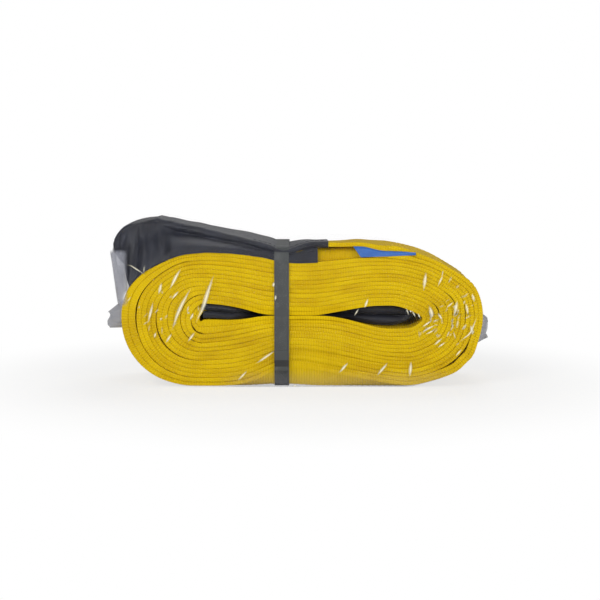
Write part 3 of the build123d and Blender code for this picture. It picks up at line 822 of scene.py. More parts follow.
def eye_low(x):
    """Height of the underside of the inner eye's sleeve, before the coil is settled."""
    return hollow_middle - 2 * eye_leg + 0.25 + (inner_swell(x) - 1) * pitch


def inner_eye_points():
    """The sleeve's middle line: its lower leg, the apex and its upper leg."""
    ways = np.arange(sleeve_start_x, shoulder_x, 4.0)
    top = hollow_middle + 2 * eye_leg
    lower = [(x, eye_low(x) + (top - eye_low(x)) / 4, 1) for x in ways]
    upper = [(x, top - (top - eye_low(x)) / 4, 1) for x in ways[::-1]]
    bend = arc(0, 0, 1, -90, 180) * (apex_reach, eye_leg, 1) + (shoulder_x + 2, hollow_middle, 0)
    return np.vstack([lower, bend, upper])


inner_eye_route = Route(inner_eye_points())


def inner_half(along):
    """Half width of the inner eye's sleeve: wide where the legs enter it, and again at the apex."""
    x = inner_eye_route.at(along, 0)[0]
    wider_at_fold, wider_at_apex = 21.4, 14.0
    wider = wider_at_fold * (1 - ease(x, -58, -28)) + wider_at_apex * ease(x, 24, 60)
    return narrow_half + 1.2 + wider


def inner_thick(along):
    """Thickness of the inner eye's sleeve, which fills the hollow and thins towards the apex."""
    x = inner_eye_route.at(along, 0)[0]
    thick = (hollow_middle + 2 * eye_leg - eye_low(x)) / 2 - 0.4
    return thick * (1 - 0.42 * ease(x, shoulder_x + 2, shoulder_x + 16))


def inner_crumple(along, across, out):
    """The wrinkles of the inner eye's sleeve, as how far they stand out."""
    rows = np.column_stack([along * 0.6, across, np.sign(out) * 40])
    return creases(rows, 3.1, [(26, 0.5), (9, 0.35)]) * ease(np.abs(out), 0.5, 3) - 0.25 * np.sign(out)


inner_sleeve = sleeve(
    "inner_eye_sleeve_cloth", inner_eye_route, inner_half, inner_thick, inner_crumple, settle
)

# %% [markdown]
# ## The outer eye, on top of the coil
#
# Its lower leg lies on the coil and follows the coil's left shoulder. Its upper leg lies on the lower
# one at the strap and rises to the left, where the stiff folded webbing stands up in a wide bend.

# %% The outer eye's route
leg_thickness = ply_thickness + 2.0  # of one ply in its sleeve
apex_thickness = 2 * ply_thickness + 2.2  # of the folded webbing in its sleeve
sleeve_lower_x, sleeve_upper_x = 12.4, 24.4  # where the sleeve ends on each leg


def on_coil(x):
    """Height of the coil's middle at x."""
    return float(coil_top_at(np.array(float(x)), np.array(0.0)))


def thickness_at(x):
    """Thickness of a sleeved leg: one ply at the strap, and folded double at the apex."""
    pressed = 0.9 * np.exp(-(((x - band_x) / 9) ** 2))  # under the strap
    return leg_thickness - pressed + (apex_thickness - leg_thickness) * (1 - ease(x, -92, -20))


def lower_leg(x):
    """A point of the lower leg's middle line, as it lies on the coil."""
    return (x, on_coil(x) + 0.35 + float(thickness_at(x)) / 2)


upper_over_lower = [
    (x, lower_leg(x)[1] + leg_thickness - sunk)
    for x, sunk in ((sleeve_upper_x, 1.7), (12, 1.0), (0, 0.1), (-14, 0.8), (-24, 0))
]
apex_points = [
    (-33, 117.8), (-46, 120.6), (-64, 123.2), (-83, 127.0), (-96, 129.7), (-105, 131.5), (-112, 132.4),
    (-119, 132.6), (-129, 131.2), (-138.5, 128.8), (-145.6, 124.4), (-148.8, 118.0), (-147.7, 111.5),
    (-144.4, 106.0), (-140.2, 101.6), (-135.6, 98.6), (-131.0, 98.4), (-125.5, 102.0),
]
lower_points = [lower_leg(x) for x in (-118, -108, -98, -86, -70, -50, -30, -14, 2, sleeve_lower_x)]
outer_eye_route = smooth_route([*upper_over_lower, *apex_points, *lower_points])
middle_way = outer_eye_route.length / 2
print(f"outer eye: {outer_eye_route.length:.0f} mm of sleeve")


def outer_x(along):
    """The place along X of a way along the outer eye."""
    return outer_eye_route.at(along, 0)[0]


def outer_half(along):
    """Half width of the outer eye's sleeve: full at the strap and folded narrow at the apex."""
    folded, full = narrow_half + 3.5, half_width + 1.0
    return folded + (full - folded) * ease(outer_x(along), -100, -18)


def lower_slack(along):
    """How far the sleeve is slack on the lower leg, where it stands off the webbing."""
    x = outer_x(along)
    return 5.5 * ease(x, -118, -92) * (1 - ease(x, -52, -22)) * (along > middle_way)


def outer_thick(along):
    """Thickness of the outer eye's sleeve, with its slack."""
    return thickness_at(outer_x(along)) + lower_slack(along)


leg_lift = through_points([(-9, 0), (8, 2.0), (45, 2.0), (72, 0)], 4.0)  # of the legs off the coil
leg_tilt = through_points([(-9, 0), (10, 2.2), (30, 2.0), (45, 1.2), (72, 0)], 4.0)  # at the front


def follow_coil(x, y, z):
    """Bends the eye down at its edges as the coil is, but right of the strap it stays nearly flat."""
    middle = coil_top_at(x, np.zeros_like(y))
    droop = coil_top_at(x, y) - middle
    near = 1 - ease(z - middle, 11, 26)
    strapped = ease(x, -112, -80) * (1 - ease(x, -6, 14))
    free = ease(x, -6, 14)
    flat_z = z + droop * near * strapped + leg_lift(x) + leg_tilt(x) * ease(-y, 0, 38)
    flat_z = flat_z - 3.0 * free * ease(y, 5, 45)
    settled_z = settle(x, y, coil_top + z - middle)[2]
    joined = ease(x, 52, outer_throat_x)
    return x, y, flat_z + joined * (settled_z - flat_z)


def outer_crumple(along, across, out):
    """The folds of the outer eye's sleeve. Its slack goes upwards, and it stays on the coil."""
    x = outer_x(along)
    rows = np.column_stack([along, across * 0.35, np.sign(out) * 60])
    loose = 0.28 + 0.72 * (1 - ease(x, -125, -70))
    folds = creases(rows, 7.7, [(22, 0.9), (8, 0.5)]) + 0.35 * np.sin(along / 3.1 + across / 9)
    kink = 1.3 * np.exp(-(((x + 116) / 2.6) ** 2)) * (along < middle_way)
    return loose * folds * np.sign(out) + kink * (out > 0) - lower_slack(along) / 2


# %% The outer eye's sleeve and webbing
outer_sleeve = sleeve(
    "outer_eye_sleeve_cloth", outer_eye_route, outer_half, outer_thick, outer_crumple, follow_coil
)
turn_down_start, turn_down_radius = 35.0, 4.5  # how far from its middle the lower leg turns down


def turned_down(x, y, z):
    """Turns the lower leg's edges down, so that its ribbed face shows at the front."""
    x, y, new_z = follow_coil(x, y, z)
    share = 1 - ease(x, 50, outer_throat_x - 3)
    beyond = np.maximum(np.abs(y) - turn_down_start, 0) * 1.5
    angle = np.minimum(beyond / turn_down_radius, math.pi / 2)
    straight = beyond - angle * turn_down_radius
    out = z - np.interp(x, *lower_leg_line)
    across = turn_down_start + turn_down_radius * np.sin(angle) + out * np.sin(angle)
    down = turn_down_radius * (1 - np.cos(angle)) + straight + out * (1 - np.cos(angle))
    on_edge = (beyond > 0) * share
    new_y = y + on_edge * (np.sign(y) * across - y)
    return x, new_y, new_z - down * share


def outer_leg(name, points, bend):
    """Bare webbing from the outer throat into the sleeve."""
    route = smooth_route(points)
    leg = strip(name, route.length, columns=34)
    lay(leg, route, bend)
    return finish(leg, webbing)


def leg_points(side, ends_at):
    """The bare leg's line: in its sleeve, down to the throat's level, and to the throat."""
    in_sleeve = [(ends_at - 30, 5.4), (ends_at - 14, 4.5), (ends_at, ply_thickness + 0.2)]
    found = [(x, lower_leg(x)[1] + lift * (side > 0)) for x, lift in in_sleeve]
    label_room = 0.5 if side > 0 else 0.0
    height = ply_middle * (3 if side > 0 else 1) + 0.05
    level_x = ends_at + 26
    towards_throat = [(level_x + outer_throat_x) / 2, outer_throat_x - 6, outer_throat_x + 0.5]
    for x in (ends_at + 14, level_x, *towards_throat):
        room = label_room * (1 - ease(x, outer_throat_x - 16, outer_throat_x - 6))
        found.append((x, on_coil(x) + height + float(room)))
    return found


lower_leg_points = leg_points(-1, sleeve_lower_x)
lower_leg_line = list(zip(*lower_leg_points))
outer_legs = [
    outer_leg("outer_eye_leg_upper", leg_points(1, sleeve_upper_x), follow_coil),
    outer_leg("outer_eye_leg_lower", lower_leg_points, turned_down),
]

# %% [markdown]
# ## The slack of the sleeve
#
# The sleeve is wider than the folded webbing, and its slack hangs down over the lower leg and the
# coil's shoulder, at the front and at the back, and closes the eye. Each side is a sheet: a grid,
# whose rows run from the upper leg down to the coil. Its folds are deepest round the apex.

# %% The slack at the front and the back
eye_ways = np.linspace(0, outer_eye_route.length, 400)
eye_x, eye_z = outer_eye_route.at(eye_ways, 0)
apex_index = int(np.argmin(eye_x))
# the upper leg only, from the apex to its end at the strap
upper_x, upper_z, upper_ways = (row[apex_index::-1] for row in (eye_x, eye_z, eye_ways))
slack_right = sleeve_lower_x + 3.3
slack_length = slack_right + 149
slack_y = 45.9  # how far out the slack hangs


def slack(name, side, seed):
    """A sheet from the upper leg down to the coil's edge; side is -1 at the front, 1 at the back."""
    sheet = cloth(name, slack_length, 1.0, 1.2, 44)
    rows = places(sheet)
    share = rows[:, 1] + 0.5  # 0 at the coil and 1 at the upper leg
    left = -138.4 - 10.2 * share
    x = slack_right - (slack_right - left) * (1 - rows[:, 0] / slack_length)
    keep_cloth_place(sheet, rows[:, 0], rows[:, 1] * 36)
    low = coil_top_at(x, np.full_like(x, side * half_width)) - 0.7
    covers = 1 - ease(x, -122, -100)  # the sheet covers the upper leg's edge at the apex
    top_y = outer_half(np.interp(x, upper_x, upper_ways)) - 3.0 + 4.4 * covers
    top_z = np.interp(x, upper_x, upper_z) + covers * (apex_thickness / 2 - 1.2)
    tall = follow_coil(x, side * top_y, top_z)[2] - low
    apex = 1 - ease(x, -122, -88)
    round_out = 1 - ease(share, 0.30 - 0.28 * apex, 0.98)
    y = top_y + (slack_y - top_y) * round_out
    valley = ease(x, -112, -92) * (1 - ease(x, -40, -24))
    y -= 3.4 * valley * np.exp(-(((share - 0.72) / 0.12) ** 2))
    rows = np.column_stack([x + 3 * share, share * tall * 0.28, np.zeros_like(x)])
    free = np.sin(np.clip(share, 0, 1) * math.pi) ** 0.6
    y += creases(rows, seed, [(7.5, 3.0), (3.4, 1.0)]) * free * (0.16 + 1.3 * apex)
    gathers = np.sin(x / 2.9 + share * 2.2 + seed + 1.5 * np.sin(x / 7))
    y += (gathers - 1.2) * free * apex
    y += 0.55 * np.sin(share * math.pi) * ease(share, 0, 0.3) * (1 - apex)
    strapped = np.exp(-(((x - band_x) / 8.5) ** 4))  # the strap presses it in
    y = np.minimum(y, 46.65 - 0.75 * strapped)
    put(sheet, np.column_stack([x, side * y, low + share * tall]))
    modify(sheet, "SOLIDIFY", thickness=0.8, offset=0, use_even_offset=False)
    return finish(sheet, sleeve_cloth)


slacks = [slack("outer_eye_slack_front", -1, 5.3), slack("outer_eye_slack_back", 1, 9.1)]

# %% [markdown]
# ## The label
#
# A tag of coated fabric is sewn in between the legs at the throat. Its free edge hangs down the front
# of the webbing, further at its left end. It carries no print here.

# %% The label
label_low, label_high = node_box("identification_label")
label_left, label_right = label_low.x + 0.6, label_high.x + 7.5
label_length = label_right - label_left
label_cut = 24.0  # its width with the part that is tucked in
label_end = through_points([(44, 107.4), (70, 108.2), (97, 109.4)], 3.0)  # height of its free edge


def label_place(along, across):
    """From the flat tag to its place: across runs from the tuck to the front, and down."""
    share = along / label_length
    depth = across + 0.5
    hanging = np.clip((depth - 0.5) * 2, 0, 1)
    x = along + label_left + 6.0 * hanging * (1 - share) ** 2
    tuck = 0.6 + 19 * (1 - ease(x, 56, 69))
    y = -half_width - 0.3 + tuck * np.clip(1 - depth * 2, 0, 1)
    between = coil_top_at(x, np.zeros_like(x)) + 2 * ply_middle + 0.35
    top = follow_coil(x, np.maximum(y, -half_width), between)[2]
    end = np.minimum(label_end(x), top - 0.4)
    wave = 0.35 * np.sin(x / 6.5 + 2 * hanging) * hanging
    return x, y - 0.9 * ease(hanging, 0, 0.2) - wave, top - hanging * (top - end)


label = cloth("identification_label_tag", label_length, 1.0, 1.2, 36)
along, across, _ = places(label).T
keep_cloth_place(label, along, across * label_cut)
put(label, np.column_stack(label_place(along, across)))
modify(label, "SOLIDIFY", thickness=0.5, offset=0, use_even_offset=False)
label_fabric, label_shader = new_material("blue_label_fabric")
finish(label, label_fabric)

# %% [markdown]
# ## The packing strap
#
# A flat plastic strap is pulled tight round the waist, lapped on the front and welded. It is laid on
# a route too, but one that runs round the coil's section, in the YZ plane.

# %% The packing strap
band_width = band_high.x - band_low.x
band_thickness = 0.7
waist_x = np.array(band_x)


def over_eye(y):
    """Height of the strap at the top, over the coil and both legs of the eye."""
    return float(coil_top_at(waist_x, np.array(float(y)))) + 2 * leg_thickness + 0.3


def under_coil(y):
    """Height of the strap at the bottom."""
    return float(heights(waist_x, np.array(float(y)))[0]) - 0.55


front = half_width + 1.75  # of the coil, to the strap's middle
half_section = (
    [(y, under_coil(y)) for y in (0, 12, 20, 27, 33, 39, 43.5)]
    + [(front - 0.35, 20.5), (front, 27), (front, 45), (front, 62), (front, 80), (front, 97)]
    + [(front, 104), (front - 0.6, 109.8)]
    + [(y, over_eye(y)) for y in (43.6, 39, 33, 27, 20, 12, 0)]
)
back_half = [(-y, z) for y, z in half_section[::-1]]
strap_route = smooth_route([*half_section, *back_half[1:]], 12)
strap = strip("packing_strap", strap_route.length, band_width, band_thickness, 2.5, 8)


def strap_place(x, across, z):
    """The route is in the YZ plane: its first axis is -Y."""
    return across + band_x, -x, z


lay(strap, strap_route, strap_place)
strap_plastic, strap_shader = new_material("grey_strap_plastic")
finish(strap, strap_plastic)

# the welded lap on the front
lap_points = [(0.62, 13.5), (0.72, 17.0), (0.66, 22), (0.72, 30.5)]  # off the strap, and the height
lap_route = smooth_route([(front + off, z) for off, z in lap_points])
lap = strip("packing_strap_lap", lap_route.length, band_width - 0.4, band_thickness, 1.2, 8)
lay(lap, lap_route, strap_place)
finish(lap, strap_plastic)

# %% [markdown]
# ## Stitching
#
# The plies are sewn together along both edges of the body, and more strongly at the throats. One
# stitch is a flattened bead. It is modelled once, and each row holds copies of it, set along the face
# that they are sewn into.

# %% One stitch, and rows of it
stitch_length, stitch_width, stitch_height, stitch_step = 3.6, 1.0, 0.55, 4.6


def one_stitch():
    """A small bead with few faces, along X, as arrays of its vertices and faces."""
    bpy.ops.mesh.primitive_uv_sphere_add(segments=8, ring_count=5, radius=0.5)
    bead = bpy.context.object
    rows = places(bead)
    rows = np.sign(rows) * np.abs(rows * 2) ** 0.75 / 2 * (stitch_length, stitch_width, stitch_height)
    faces = [list(face.vertices) for face in bead.data.polygons]
    bpy.data.objects.remove(bead)
    return rows, faces


stitch_rows, stitch_faces = one_stitch()
yellow_thread, thread_shader = new_material("yellow_thread")
black_thread, black_thread_shader = new_material("black_thread")


def stitches(name, lines, material, step=stitch_step):
    """Rows of stitches. Each line is a function from a share 0..1 to a point, and its length."""
    found, faces = [], []
    for line, length in lines:
        count = max(1, int(length / step))
        for index in range(count):
            middle = (index + 0.5) / count
            here = line(middle)
            way = line(middle + 0.3 * step / length) - line(middle - 0.3 * step / length)
            way /= np.linalg.norm(way)
            across = np.array([0, 1.0, 0]) - way[1] * way
            across /= np.linalg.norm(across)
            turned = np.array([way, across, np.cross(way, across)])
            first = len(found) * len(stitch_rows)
            faces += [[first + corner for corner in face] for face in stitch_faces]
            found.append(here + stitch_rows @ turned)
    return finish(from_rows(name, np.vstack(found), faces), material)


body_face = 2 * ply_middle - 0.05  # from the body's middle line to its outer face
body_end = body_route.length
seam_y = half_width - 7.0
seam_length = 560.0  # of the outermost turn's seams; the turns inside it hide the rest


def on_body(way_from, way_to, y, out=body_face):
    """A line of stitches on the body's outer face."""

    def line(share):
        way = way_from + share * (way_to - way_from)
        x, z = body_route.at(np.array(way), 0.0)
        x2, z2 = body_route.at(np.array(way), 1.0)
        swell = np.interp(way, body_route.way, body_route.swell)
        dx, dz = (x2 - x) / swell, (z2 - z) / swell
        reach = out * swell + 0.12
        x, y2, z = settle(x + dx * reach, np.array(float(y)) + wander(way, 0.9), z + dz * reach)
        return np.array([float(x), float(y2), float(z)])

    return line, abs(way_to - way_from)


seam_lines = [on_body(body_end - seam_length, body_end - 5, side * seam_y) for side in (1, -1)]
throat_lines = [on_body(body_end - 47, body_end - 3, y) for y in (-30, -15, 0, 15, 30)]
inner_lines = [on_body(2, 48, side * y, -body_face) for side in (1, -1) for y in (38, 32)]
body_seams = stitches("body_long_seams", seam_lines, yellow_thread)
outer_throat = stitches("outer_throat_stitches", throat_lines, yellow_thread, 4.0)
inner_throat = stitches("inner_throat_stitches", inner_lines, yellow_thread, 4.0)


outer_seam_from, outer_seam_length = 3.0, 61.0
inner_seam_from, inner_seam_length = inner_eye_route.length - 62, 59.0


def outer_sleeve_line(share):
    """The seam on the upper face of the outer eye's sleeve, near its front edge."""
    way = np.array(outer_seam_from + share * outer_seam_length)
    x, z = outer_eye_route.at(way, float(outer_thick(way)) / 2 + 0.25)
    return np.array(follow_coil(x, np.array(8 - half_width), z), float)


def inner_sleeve_line(share):
    """The seam along the front edge of the inner eye's sleeve."""
    way = np.array(inner_seam_from + share * inner_seam_length)
    x, z = inner_eye_route.at(way, 0.0)
    return np.array(settle(x, -(inner_half(way) + 0.1), z), float)


outer_sleeve_seam = stitches(
    "outer_sleeve_stitches", [(outer_sleeve_line, outer_seam_length)], black_thread, 4.0
)
inner_sleeve_seam = stitches(
    "inner_sleeve_stitches", [(inner_sleeve_line, inner_seam_length)], black_thread, 4.0
)

# %% [markdown]
# ## The film bag
#
# The bag is drawn tight. Its outline from the front is that of a string pulled round what lies to
# the left of the strap, and of another round what lies to the right. Its faces are flat, with a soft
# crinkle all over, and it is rounded towards its wall.

# %% The bag's outline
clear_film, film_shader = new_material("clear_film")
film_gap = 0.55  # from what it wraps to the film
film_front = film_high.y - 0.35
wrapped = [*body_plies, *outer_legs, outer_sleeve, strap, label]
seen_points = np.vstack([places(piece)[:, [0, 2]] / MM for piece in wrapped])


def string_round(points):
    """The convex outline round some points, anticlockwise."""
    points = points[np.lexsort((points[:, 1], points[:, 0]))]
    chains = []
    for ordered in (points, points[::-1]):
        chain = []
        for point in ordered:
            while len(chain) > 1:
                a, b = chain[-1] - chain[-2], point - chain[-1]
                if a[0] * b[1] - a[1] * b[0] > 0:
                    break
                chain.pop()
            chain.append(point)
        chains.append(np.array(chain[:-1]))
    return np.vstack(chains)


def reach_round(outline, middle, ways):
    """How far a convex outline lies from a place inside it, in each direction."""
    edges = np.roll(outline, -1, axis=0) - outline
    normals = np.column_stack([edges[:, 1], -edges[:, 0]])
    normals /= np.hypot(*normals.T)[:, None]
    distance = ((outline - middle) * normals).sum(axis=1)
    facing = ways @ normals.T
    return np.where(facing > 1e-6, distance / np.maximum(facing, 1e-6), 1e6).min(axis=1)


# the film is pulled tight from the eye down to the strap, and from the strap to the right bend
past_strap = 9.0  # how far each string goes past the strap's middle
waist = np.array([band_x, hollow_middle])
angles = np.radians(np.arange(0, 361, 0.75))
ways = np.column_stack([np.cos(angles), np.sin(angles)])
tight = np.zeros(len(ways))
for side in (-1, 1):
    part = seen_points[side * (seen_points[:, 0] - band_x) > -past_strap]
    tight = np.maximum(tight, reach_round(string_round(np.round(part, 2)), waist, ways))
closed = waist + ways * tight[:, None]
outline_way = way_along(closed)
film_round = outline_way[-1]
print(f"the film is {film_round:.0f} mm round")

# %% The bag
rim_radius = 4.0
side_share, rim_share = 0.30, 0.08  # of the way from the wall's middle to the face's: wall and rim
face_half, face_z = 82.0, 60.0  # half length and height of the face's middle line
bag = grid("film_bag", 220, 84)
rows = places(bag)
round_way = (rows[:, 0] + 0.5) * film_round
edge_x = np.interp(round_way, outline_way, closed[:, 0])
edge_z = np.interp(round_way, outline_way, closed[:, 1])
middle_x = np.clip(edge_x, -face_half, face_half)
middle_z = face_z + 0.12 * (edge_z - face_z)
out_x, out_z = edge_x - middle_x, edge_z - middle_z
reach = np.hypot(out_x, out_z)
out_x, out_z = out_x / reach, out_z / reach
strip_share = rows[:, 1] * 2  # -1 at the front face's middle, 0 half way across the wall, 1 behind
wide = np.abs(strip_share)
flat_y = np.clip(wide / side_share, 0, 1) * (film_front - rim_radius)
rim = np.clip((wide - side_share) / rim_share, 0, 1) * math.pi / 2
inward = np.clip((wide - side_share - rim_share) / (1 - side_share - rim_share), 0, 1)
y = flat_y + rim_radius * np.sin(rim)
inset = -film_gap + rim_radius * (1 - np.cos(rim))
across_face = inset + inward * (reach - inset)
x = edge_x - out_x * across_face
z = edge_z - out_z * across_face
spots = np.column_stack([x, y * 2, z])
crinkle = creases(spots, 11.3, [(34, 0.55), (12, 0.35), (5.5, 0.18)])
crinkle = np.abs(crinkle) * (1 - 0.8 * np.exp(-(((x - band_x) / 9) ** 2)))
on_face = np.sin(rim)
y = (y + 0.55 * on_face * crinkle * (wide < 0.999)) * np.sign(strip_share + 1e-9)
x = x + out_x * crinkle * (1 - on_face) * 0.5
z = np.maximum(z + out_z * crinkle * (1 - on_face) * 0.4, 0.15)
beside = np.exp(-(((z - 88) / 11) ** 2)) * (out_x < -0.5) * (wide < side_share)
x += beside * 0.8 * (1 + np.sin(y * 0.62 + 1.7 * np.sin(z / 8) + 2 * np.sin(y / 9)))
keep_cloth_place(bag, round_way, strip_share * 120)
put(bag, np.column_stack([x, y, z]))
outward(bag, 1e-3)
modify(bag, "SOLIDIFY", thickness=0.12, offset=0, use_even_offset=False)
finish(bag, clear_film, 60)

# %% [markdown]
# ## Creases in the film, painted white as glints
#
# Where the film is pulled into a fold, it stands up in a short sharp ridge. The ridges are painted
# white as glints, the highlights of the film's folds. Each ridge is a spindle with three sides,
# modelled along a few points, widest in its middle.

# %% The creases and their painted glints
glint_film, glint_shader = new_material("film_painted_with_glints")


def ridge(points, width, height, side, found, faces, strength=1.0):
    """Adds a spindle along points (x, z) on the bag's front (side -1) or back (side 1). strength is how
    strongly its painted glint shows.
    """
    points = np.asarray(points, float)
    along = way_along(points)
    shares = np.linspace(0, 1, 9)
    x = np.interp(shares * along[-1], along, points[:, 0])
    z = np.interp(shares * along[-1], along, points[:, 1])
    size = np.sin(np.pi * np.clip(shares, 0.02, 0.98)) ** 0.8
    way_x, way_z = np.gradient(x), np.gradient(z)
    reach = np.hypot(way_x, way_z)
    side_x, side_z = -way_z / reach, way_x / reach
    face_y = side * (film_front + 0.30)
    first = len(found)
    for index in range(len(x)):
        half = width / 2 * size[index]
        for share, lift in ((-1, -0.15), (0.15, height * size[index]), (1, -0.15)):
            place = (x[index] + share * half * side_x[index], z[index] + share * half * side_z[index])
            # how strongly the painted glint shows here: only on the spine
            on_spine = strength * size[index] * (abs(share) < 1)
            found.append((place[0], face_y + side * lift, place[1], on_spine))
    for index in range(len(x) - 1):
        here = first + 3 * index
        for corner in range(3):
            other = (corner + 1) % 3
            faces.append([here + corner, here + other, here + 3 + other, here + 3 + corner])
    faces.append([first, first + 1, first + 2])
    last_ring = first + 3 * (len(x) - 1)
    faces.append([last_ring, last_ring + 1, last_ring + 2])


# many small painted glints close together: middle x and z, spread along each, and number
clusters = [(129, 62, 7, 15, 30), (110, 47, 8, 6, 14), (-108, 62, 14, 16, 18)]
# on the front: points, and the width of the fold that is painted white as a glint
front_glints = [
    ([(-96, 98.5), (-100, 92), (-105.5, 81)], 2.6),
    ([(-69.3, 93), (-74, 80), (-78, 67), (-84, 54)], 3.4),
    ([(-88, 82.5), (-95, 70), (-99, 61.5), (-104, 47)], 2.8),
    ([(-112, 87), (-114.5, 77)], 2.4),
    ([(-119, 71), (-123.5, 53)], 2.2),
    ([(-98, 80), (-104, 73)], 1.8),
    ([(-117, 46), (-118.5, 41)], 1.8),
    ([(-104, 45), (-109, 37)], 2.0),
    ([(-85, 46), (-91, 38)], 2.0),
    ([(-86, 62), (-89, 56)], 1.8),
    ([(-42.2, 14.2), (-50, 5.8)], 1.8),
    ([(-19, 31), (-35, 20)], 2.0),
    ([(40.8, 21), (33.2, 12.2)], 2.2),
    ([(73.6, 21), (64.2, 9.8)], 2.2),
    ([(92.5, 22), (91.4, 8.8)], 2.8),
    ([(104.2, 95.6), (102.3, 80.3)], 2.8),
    ([(118, 93), (114, 84)], 1.6),
    ([(57, 74), (54, 65.5)], 2.0),
    ([(49.6, 66), (45.5, 59.2)], 1.2),
    ([(-1.2, 2.4), (-5, 0.9)], 1.6),
    ([(-20, 87.5), (-20.8, 83)], 2.0),
    ([(-18.5, 77), (-19.2, 72)], 1.8),
    ([(88, 66), (90.5, 60)], 1.2),
    ([(93, 64), (96, 58)], 1.2),
    ([(97.5, 62), (100, 57)], 1.2),
    ([(107, 68), (109.5, 60), (108, 57)], 3.2),
    ([(114, 62), (118, 56)], 2.0),
    ([(101, 50), (110, 56)], 1.6),
    ([(101, 46), (112, 52)], 1.6),
    ([(104, 44), (112, 48)], 1.2),
    ([(111, 35), (118, 41)], 1.8),
    ([(114, 33), (121, 38)], 1.4),
    ([(128, 60), (130, 72)], 3.0),
    ([(121, 66), (127, 71)], 1.4),
    ([(137, 70), (139, 60)], 2.2),
    ([(142, 78), (144, 71)], 2.2),
    ([(141, 52), (143, 44)], 2.2),
    ([(132, 38), (141, 45), (146, 58)], 1.6),
    ([(129, 26), (134, 32)], 1.6),
    ([(-125, 93), (-137, 101), (-141, 101.5)], 1.2),
]
found, faces = [], []
for points, width in front_glints:
    ridge(points, 1.25 * width, 0.45, -1, found, faces)
speck = np.random.default_rng(5)
for middle_x, middle_z, spread_x, spread_z, count in clusters:
    for index in range(count):
        x, z = speck.normal(middle_x, spread_x), speck.normal(middle_z, spread_z)
        lean, reach = speck.normal(1.0, 0.45), speck.uniform(2.5, 8)
        end = (x + reach * math.cos(lean), z + reach * math.sin(lean))
        ridge([(x, z), end], speck.uniform(1.2, 2.6), 0.35, -1, found, faces, speck.uniform(0.25, 0.7))
# painted glints on the back of the bag as well
chance = np.random.default_rng(12)
for index in range(26):
    x, z = chance.uniform(-118, 122), chance.uniform(16, 96)
    lean, reach = chance.uniform(0.2, 0.9), chance.uniform(4, 17)
    middle = (x + lean * reach / 2 + chance.uniform(-1, 1), z + reach / 2)
    line = [(x, z), middle, (x + lean * reach, z + reach)]
    ridge(line, chance.uniform(1.2, 2.6), 0.45, 1, found, faces, 0.6)
found = np.array(found)
film_glint_creases = from_rows("film_glint_creases", found[:, :3], faces)
# how strongly the painted glint shows: up to 1 on a crease's spine, and 0 at its edges
glint_strength = film_glint_creases.data.attributes.new("glint_strength", "FLOAT", "POINT")
glint_strength.data.foreach_set("value", found[:, 3])
finish(film_glint_creases, glint_film, 80)

# %% [markdown]
# ## The gathered ends
#
# At both ends of the coil the bag is gathered into a small tuft, a puckered tube that is pressed flat
# at its mouth.

# %% The gathered ends
gathered_film, gathered_shader = new_material("gathered_film")
tuft_cut, tuft_reach = 62.0, 14.0
tuft_y = -9.0
root_half, mouth_half = 14.0, 0.7  # half the depth of the tube at its root and at its mouth


def gather(name, end_x, root_x, root_z, tip_z, root_height, tip_height, seed):
    """A gathered end of the bag: a puckered tube that is pressed flat at its mouth."""
    reach = abs(end_x - root_x)
    tuft = cloth(name, reach, 1.0, 0.8, 120)
    rows = places(tuft)
    share = rows[:, 0] / reach
    turn = rows[:, 1] * 2 * math.pi  # round the tube
    pucker = 0.86 + 0.08 * np.sin(3 * turn + seed) + 0.06 * np.sin(7 * turn + 2 * seed)
    height = root_height + (tip_height - root_height) * share
    bent = share * (2.0 * np.sin(2.2 * np.sin(turn) + seed) + 0.8 * np.sin(8 * np.sin(turn)))
    y = tuft_y + (root_half - (root_half - mouth_half) * share) * np.cos(turn) * pucker + bent
    z = root_z + (tip_z - root_z) * share + height / 2 * np.sin(turn) * (pucker + 0.1)
    mouth = 1 - 0.06 * (1 + np.sin(3 * turn + seed)) * share
    x = root_x + (end_x - root_x) * share * mouth
    keep_cloth_place(tuft, rows[:, 0], rows[:, 1] * tuft_cut)
    put(tuft, np.column_stack([x, y, z]))
    modify(tuft, "SOLIDIFY", thickness=0.16, offset=0, use_even_offset=False)
    return finish(tuft, gathered_film, 60)


left_end = node_box("film_left_gather")[0].x - 3.0
right_end = node_box("film_right_gather")[1].x + 1.6
left_tuft = gather("film_left_tuft", left_end, body_low.x + 2.5, 60.5, 52.5, 27.0, 13.0, 0.4)
right_tuft = gather("film_right_tuft", right_end, body_high.x - 4.0, 46.0, 45.0, 31.0, 18.0, 2.2)

# %% [markdown]
# ## What each piece stands for
#
# Every piece rides on the object's one body, and the CAD nodes that it stands for are hidden.

# %% Ride and replace
stands_for = [
    (body_plies[0], "webbing", ["body_outer_ply"]),
    (body_plies[1], "webbing", ["body_inner_ply"]),
    *[(leg, "webbing", ["inner_eye_webbing"]) for leg in inner_legs],
    *[(leg, "webbing", ["outer_eye_webbing"]) for leg in outer_legs],
    (inner_sleeve, "sleeve", ["inner_eye_sleeve"]),
    (outer_sleeve, "sleeve", ["outer_eye_sleeve"]),
    *[(sheet, "sleeve", ["outer_eye_sleeve"]) for sheet in slacks],
    (label, "label", ["identification_label"]),
    (body_seams, "thread", ["body_seams"]),
    (outer_throat, "thread", ["outer_throat_stitching"]),
    (inner_throat, "thread", ["inner_throat_stitching"]),
    (outer_sleeve_seam, "sleeve_thread", ["outer_sleeve_seam"]),
    (inner_sleeve_seam, "sleeve_thread", ["inner_sleeve_seam"]),
    (strap, "strap", ["packing_band"]),
    (lap, "strap", ["packing_band"]),
    (bag, "film", ["film_wrap"]),
    (film_glint_creases, "film", ["film_wrap"]),
    (left_tuft, "film", ["film_left_gather"]),
    (right_tuft, "film", ["film_right_gather"]),
]
for piece, slot, nodes in stands_for:
    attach(piece, "root")
    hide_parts(*nodes)
